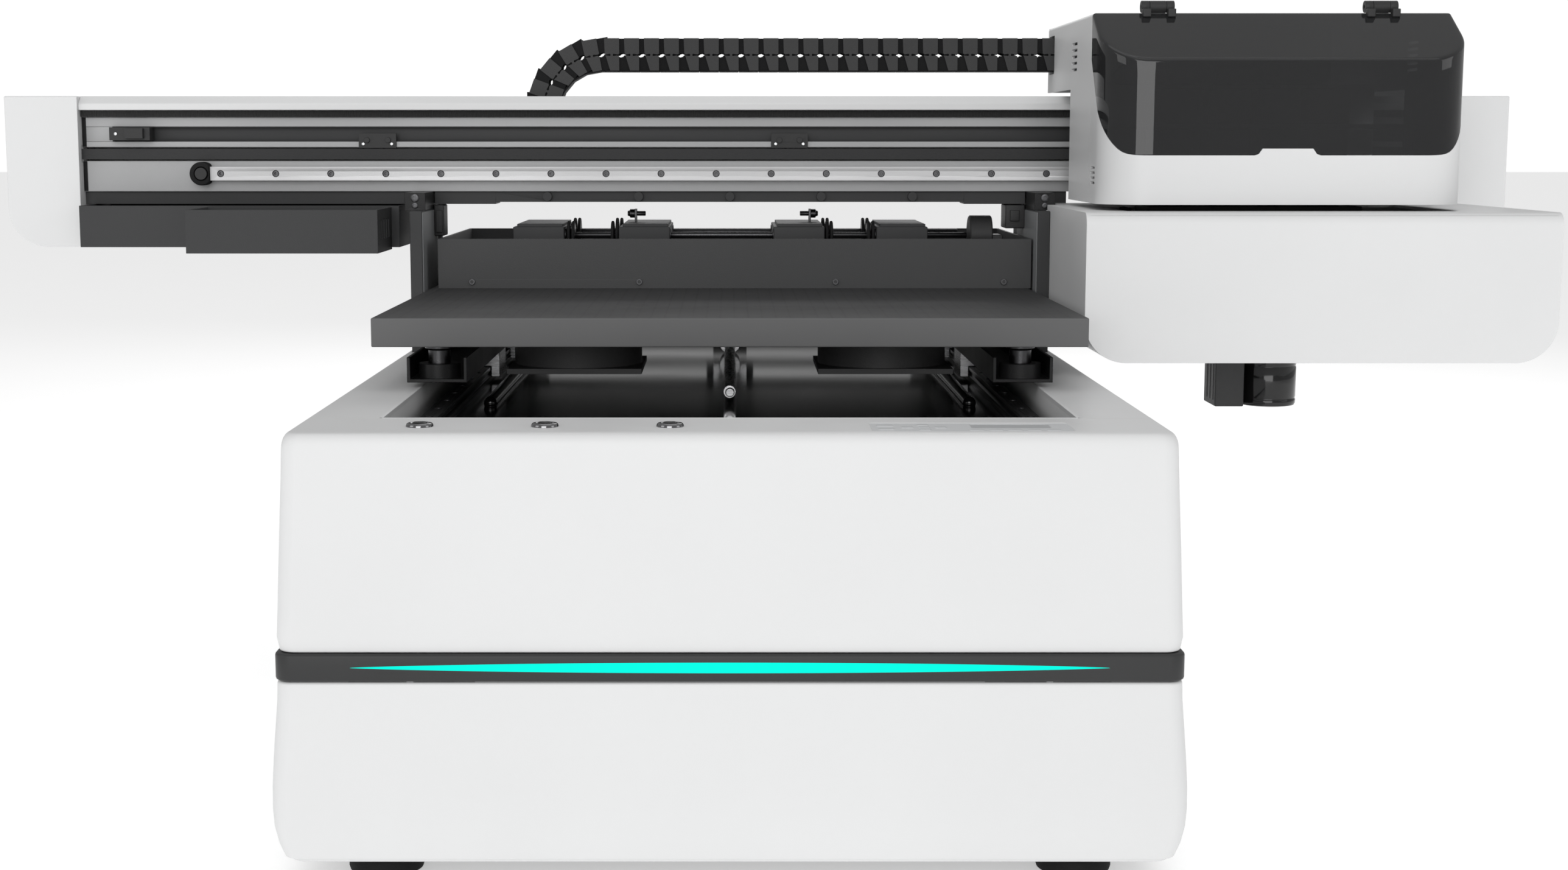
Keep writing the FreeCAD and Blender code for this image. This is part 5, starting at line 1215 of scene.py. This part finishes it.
def makeChain():
    print("making the cable chain")
    plates, backs = Shells(), Shells()
    linkShape(plates, backs)
    # the backs take the darker black: painted shade inside the links
    templates = {"Plates": (plates, "blackPlastic"), "Backs": (backs, "chainRecessShade")}
    pitch, x0, bendR = chain["pitch"], chain["bendX"], chain["bendR"]

    def turned(points, centre, angle):
        # a link turned about the chain's cross axis and set with its pivot on the path
        c, s = math.cos(angle), math.sin(angle)
        x, z = points[:, 0] * c - points[:, 2] * s, points[:, 0] * s + points[:, 2] * c
        return toRow(np.stack([centre[0] + x, points[:, 1], centre[1] + z], -1))

    count = round(math.pi * bendR / pitch)
    arc = [math.pi / 2 + math.pi * i / count for i in range(count + 1)]
    spots = [(x0 + bendR * math.cos(a), chain["bendZ"] + bendR * math.sin(a)) for a in arc]
    for label, (shell, material) in templates.items():
        points, faces = np.concatenate(shell.points), shell.faces
        upper, lower = Shells(), Shells()
        for i in range(chain["upperLinks"]):
            upper.raw(turned(points, (x0 + pitch * i, chain["bendZ"] + bendR), 0.0), faces)
        stands = ("chain_upper_run",) if label == "Plates" else ()
        piece = upper.build("chainUpper" + label, 1e-7)
        finish(piece, material, "carriage", stands, 0, 35)
        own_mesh(piece)
        for i in range(chain["links"]):
            lower.raw(turned(points, (x0 + pitch * i, chain["bendZ"] - bendR), 0.0), faces)
        for (bx, bz), (cx, cz) in zip(spots, spots[1:]):
            lower.raw(turned(points, (cx, cz), math.atan2(bz - cz, bx - cx)), faces)
        stands = ("chain_loop",) if label == "Plates" else ()
        finish(lower.build("chainBend" + label, 1e-7), material, "chain_bend", stands, 0, 35)


# studio

studio = {"skyLight": 0.42, "skySeen": 1.05,
          "lights": {  # place, aim, size in metres and power in watts
              "key": ((-0.8, -9.0, 3.0), (0.0, 0.0, 0.42), 6.0, 340.0),
              "top": ((0.3, -0.6, 3.4), (0.0, 0.1, 0.4), 3.0, 12.0),
              "left": ((-3.2, -1.8, 1.9), (0, 0, 0.4), 1.8, 14.0),
              "right": ((3.2, -1.4, 1.6), (0, 0, 0.4), 1.6, 10.0),
              "back": ((0.4, 3.2, 2.4), (0, 0, 0.4), 2.4, 26.0)},
          "cameraAt": (-0.029, -2.294, 0.587), "cameraTilt": 82.32, "lens": 50.0, "shift": 0.0345}


def makeStudio():
    print("setting the studio")
    u = np.linspace(-40.0, 40.0, 3)
    x, y = np.meshgrid(u, u, indexing="ij")
    floor = Shells().grid(np.stack([x, y, 0 * x], -1)[::-1]).build("floor")
    n, shader = newMaterial("floorPaint")
    g = useGroup(n, grainGroup, Scale=60.0)
    n.tree.links.new(n.mixColour(g.outputs[1], rgba(0.9), rgba(0.93)), shader.inputs["Base Color"])
    setPlain(shader, Roughness=0.75, Emission_Color=rgba(1.0), Emission_Strength=0.42)
    floor.data.materials.append(materials["floorPaint"])
    world = bpy.data.worlds.new("studio")
    bpy.context.scene.world = world
    world.use_nodes = True
    sky, n = world.node_tree.nodes["Background"], Nodes(world.node_tree)
    # dim where it lights the object, white where it is seen
    seen = n.add("ShaderNodeLightPath").outputs["Is Camera Ray"]
    n.tree.links.new(n.remap(seen, 0.0, 1.0, studio["skyLight"], studio["skySeen"]), sky.inputs["Strength"])
    setPlain(sky, Color=rgba(1.0))
    for name, (spot, target, size, power) in studio["lights"].items():
        data = bpy.data.lights.new(name, "AREA")
        data.shape, data.size, data.energy = "SQUARE", size, power
        lamp = bpy.data.objects.new(name, data)
        lamp.location = spot
        aim = np.array(target) - np.array(spot)
        tilt = math.atan2(math.hypot(aim[0], aim[1]), -aim[2])
        lamp.rotation_euler = (tilt, 0, math.atan2(-aim[0], aim[1]))
        bpy.context.scene.collection.objects.link(lamp)
    data = bpy.data.cameras.new("camera")
    data.lens, data.sensor_width, data.shift_x = studio["lens"], 36.0, studio["shift"]
    data.clip_start, data.clip_end = 0.05, 200.0
    camera = bpy.data.objects.new("camera", data)
    camera.location = studio["cameraAt"]
    camera.rotation_euler = (math.radians(studio["cameraTilt"]), 0, 0)
    bpy.context.scene.collection.objects.link(camera)
    bpy.context.scene.camera = camera
    bpy.context.scene.view_settings.view_transform = "Standard"


for make in (makeStudio, makeCabinet, makeLiner, makeBand, makeFeet, makeButtons, makePanel, makeWell,
             makeBed, makeRotary, makeUprights, makeBeam, makeEndCaps, makeBottle, makeCarriage, makeHood,
             makeChain):
    make()
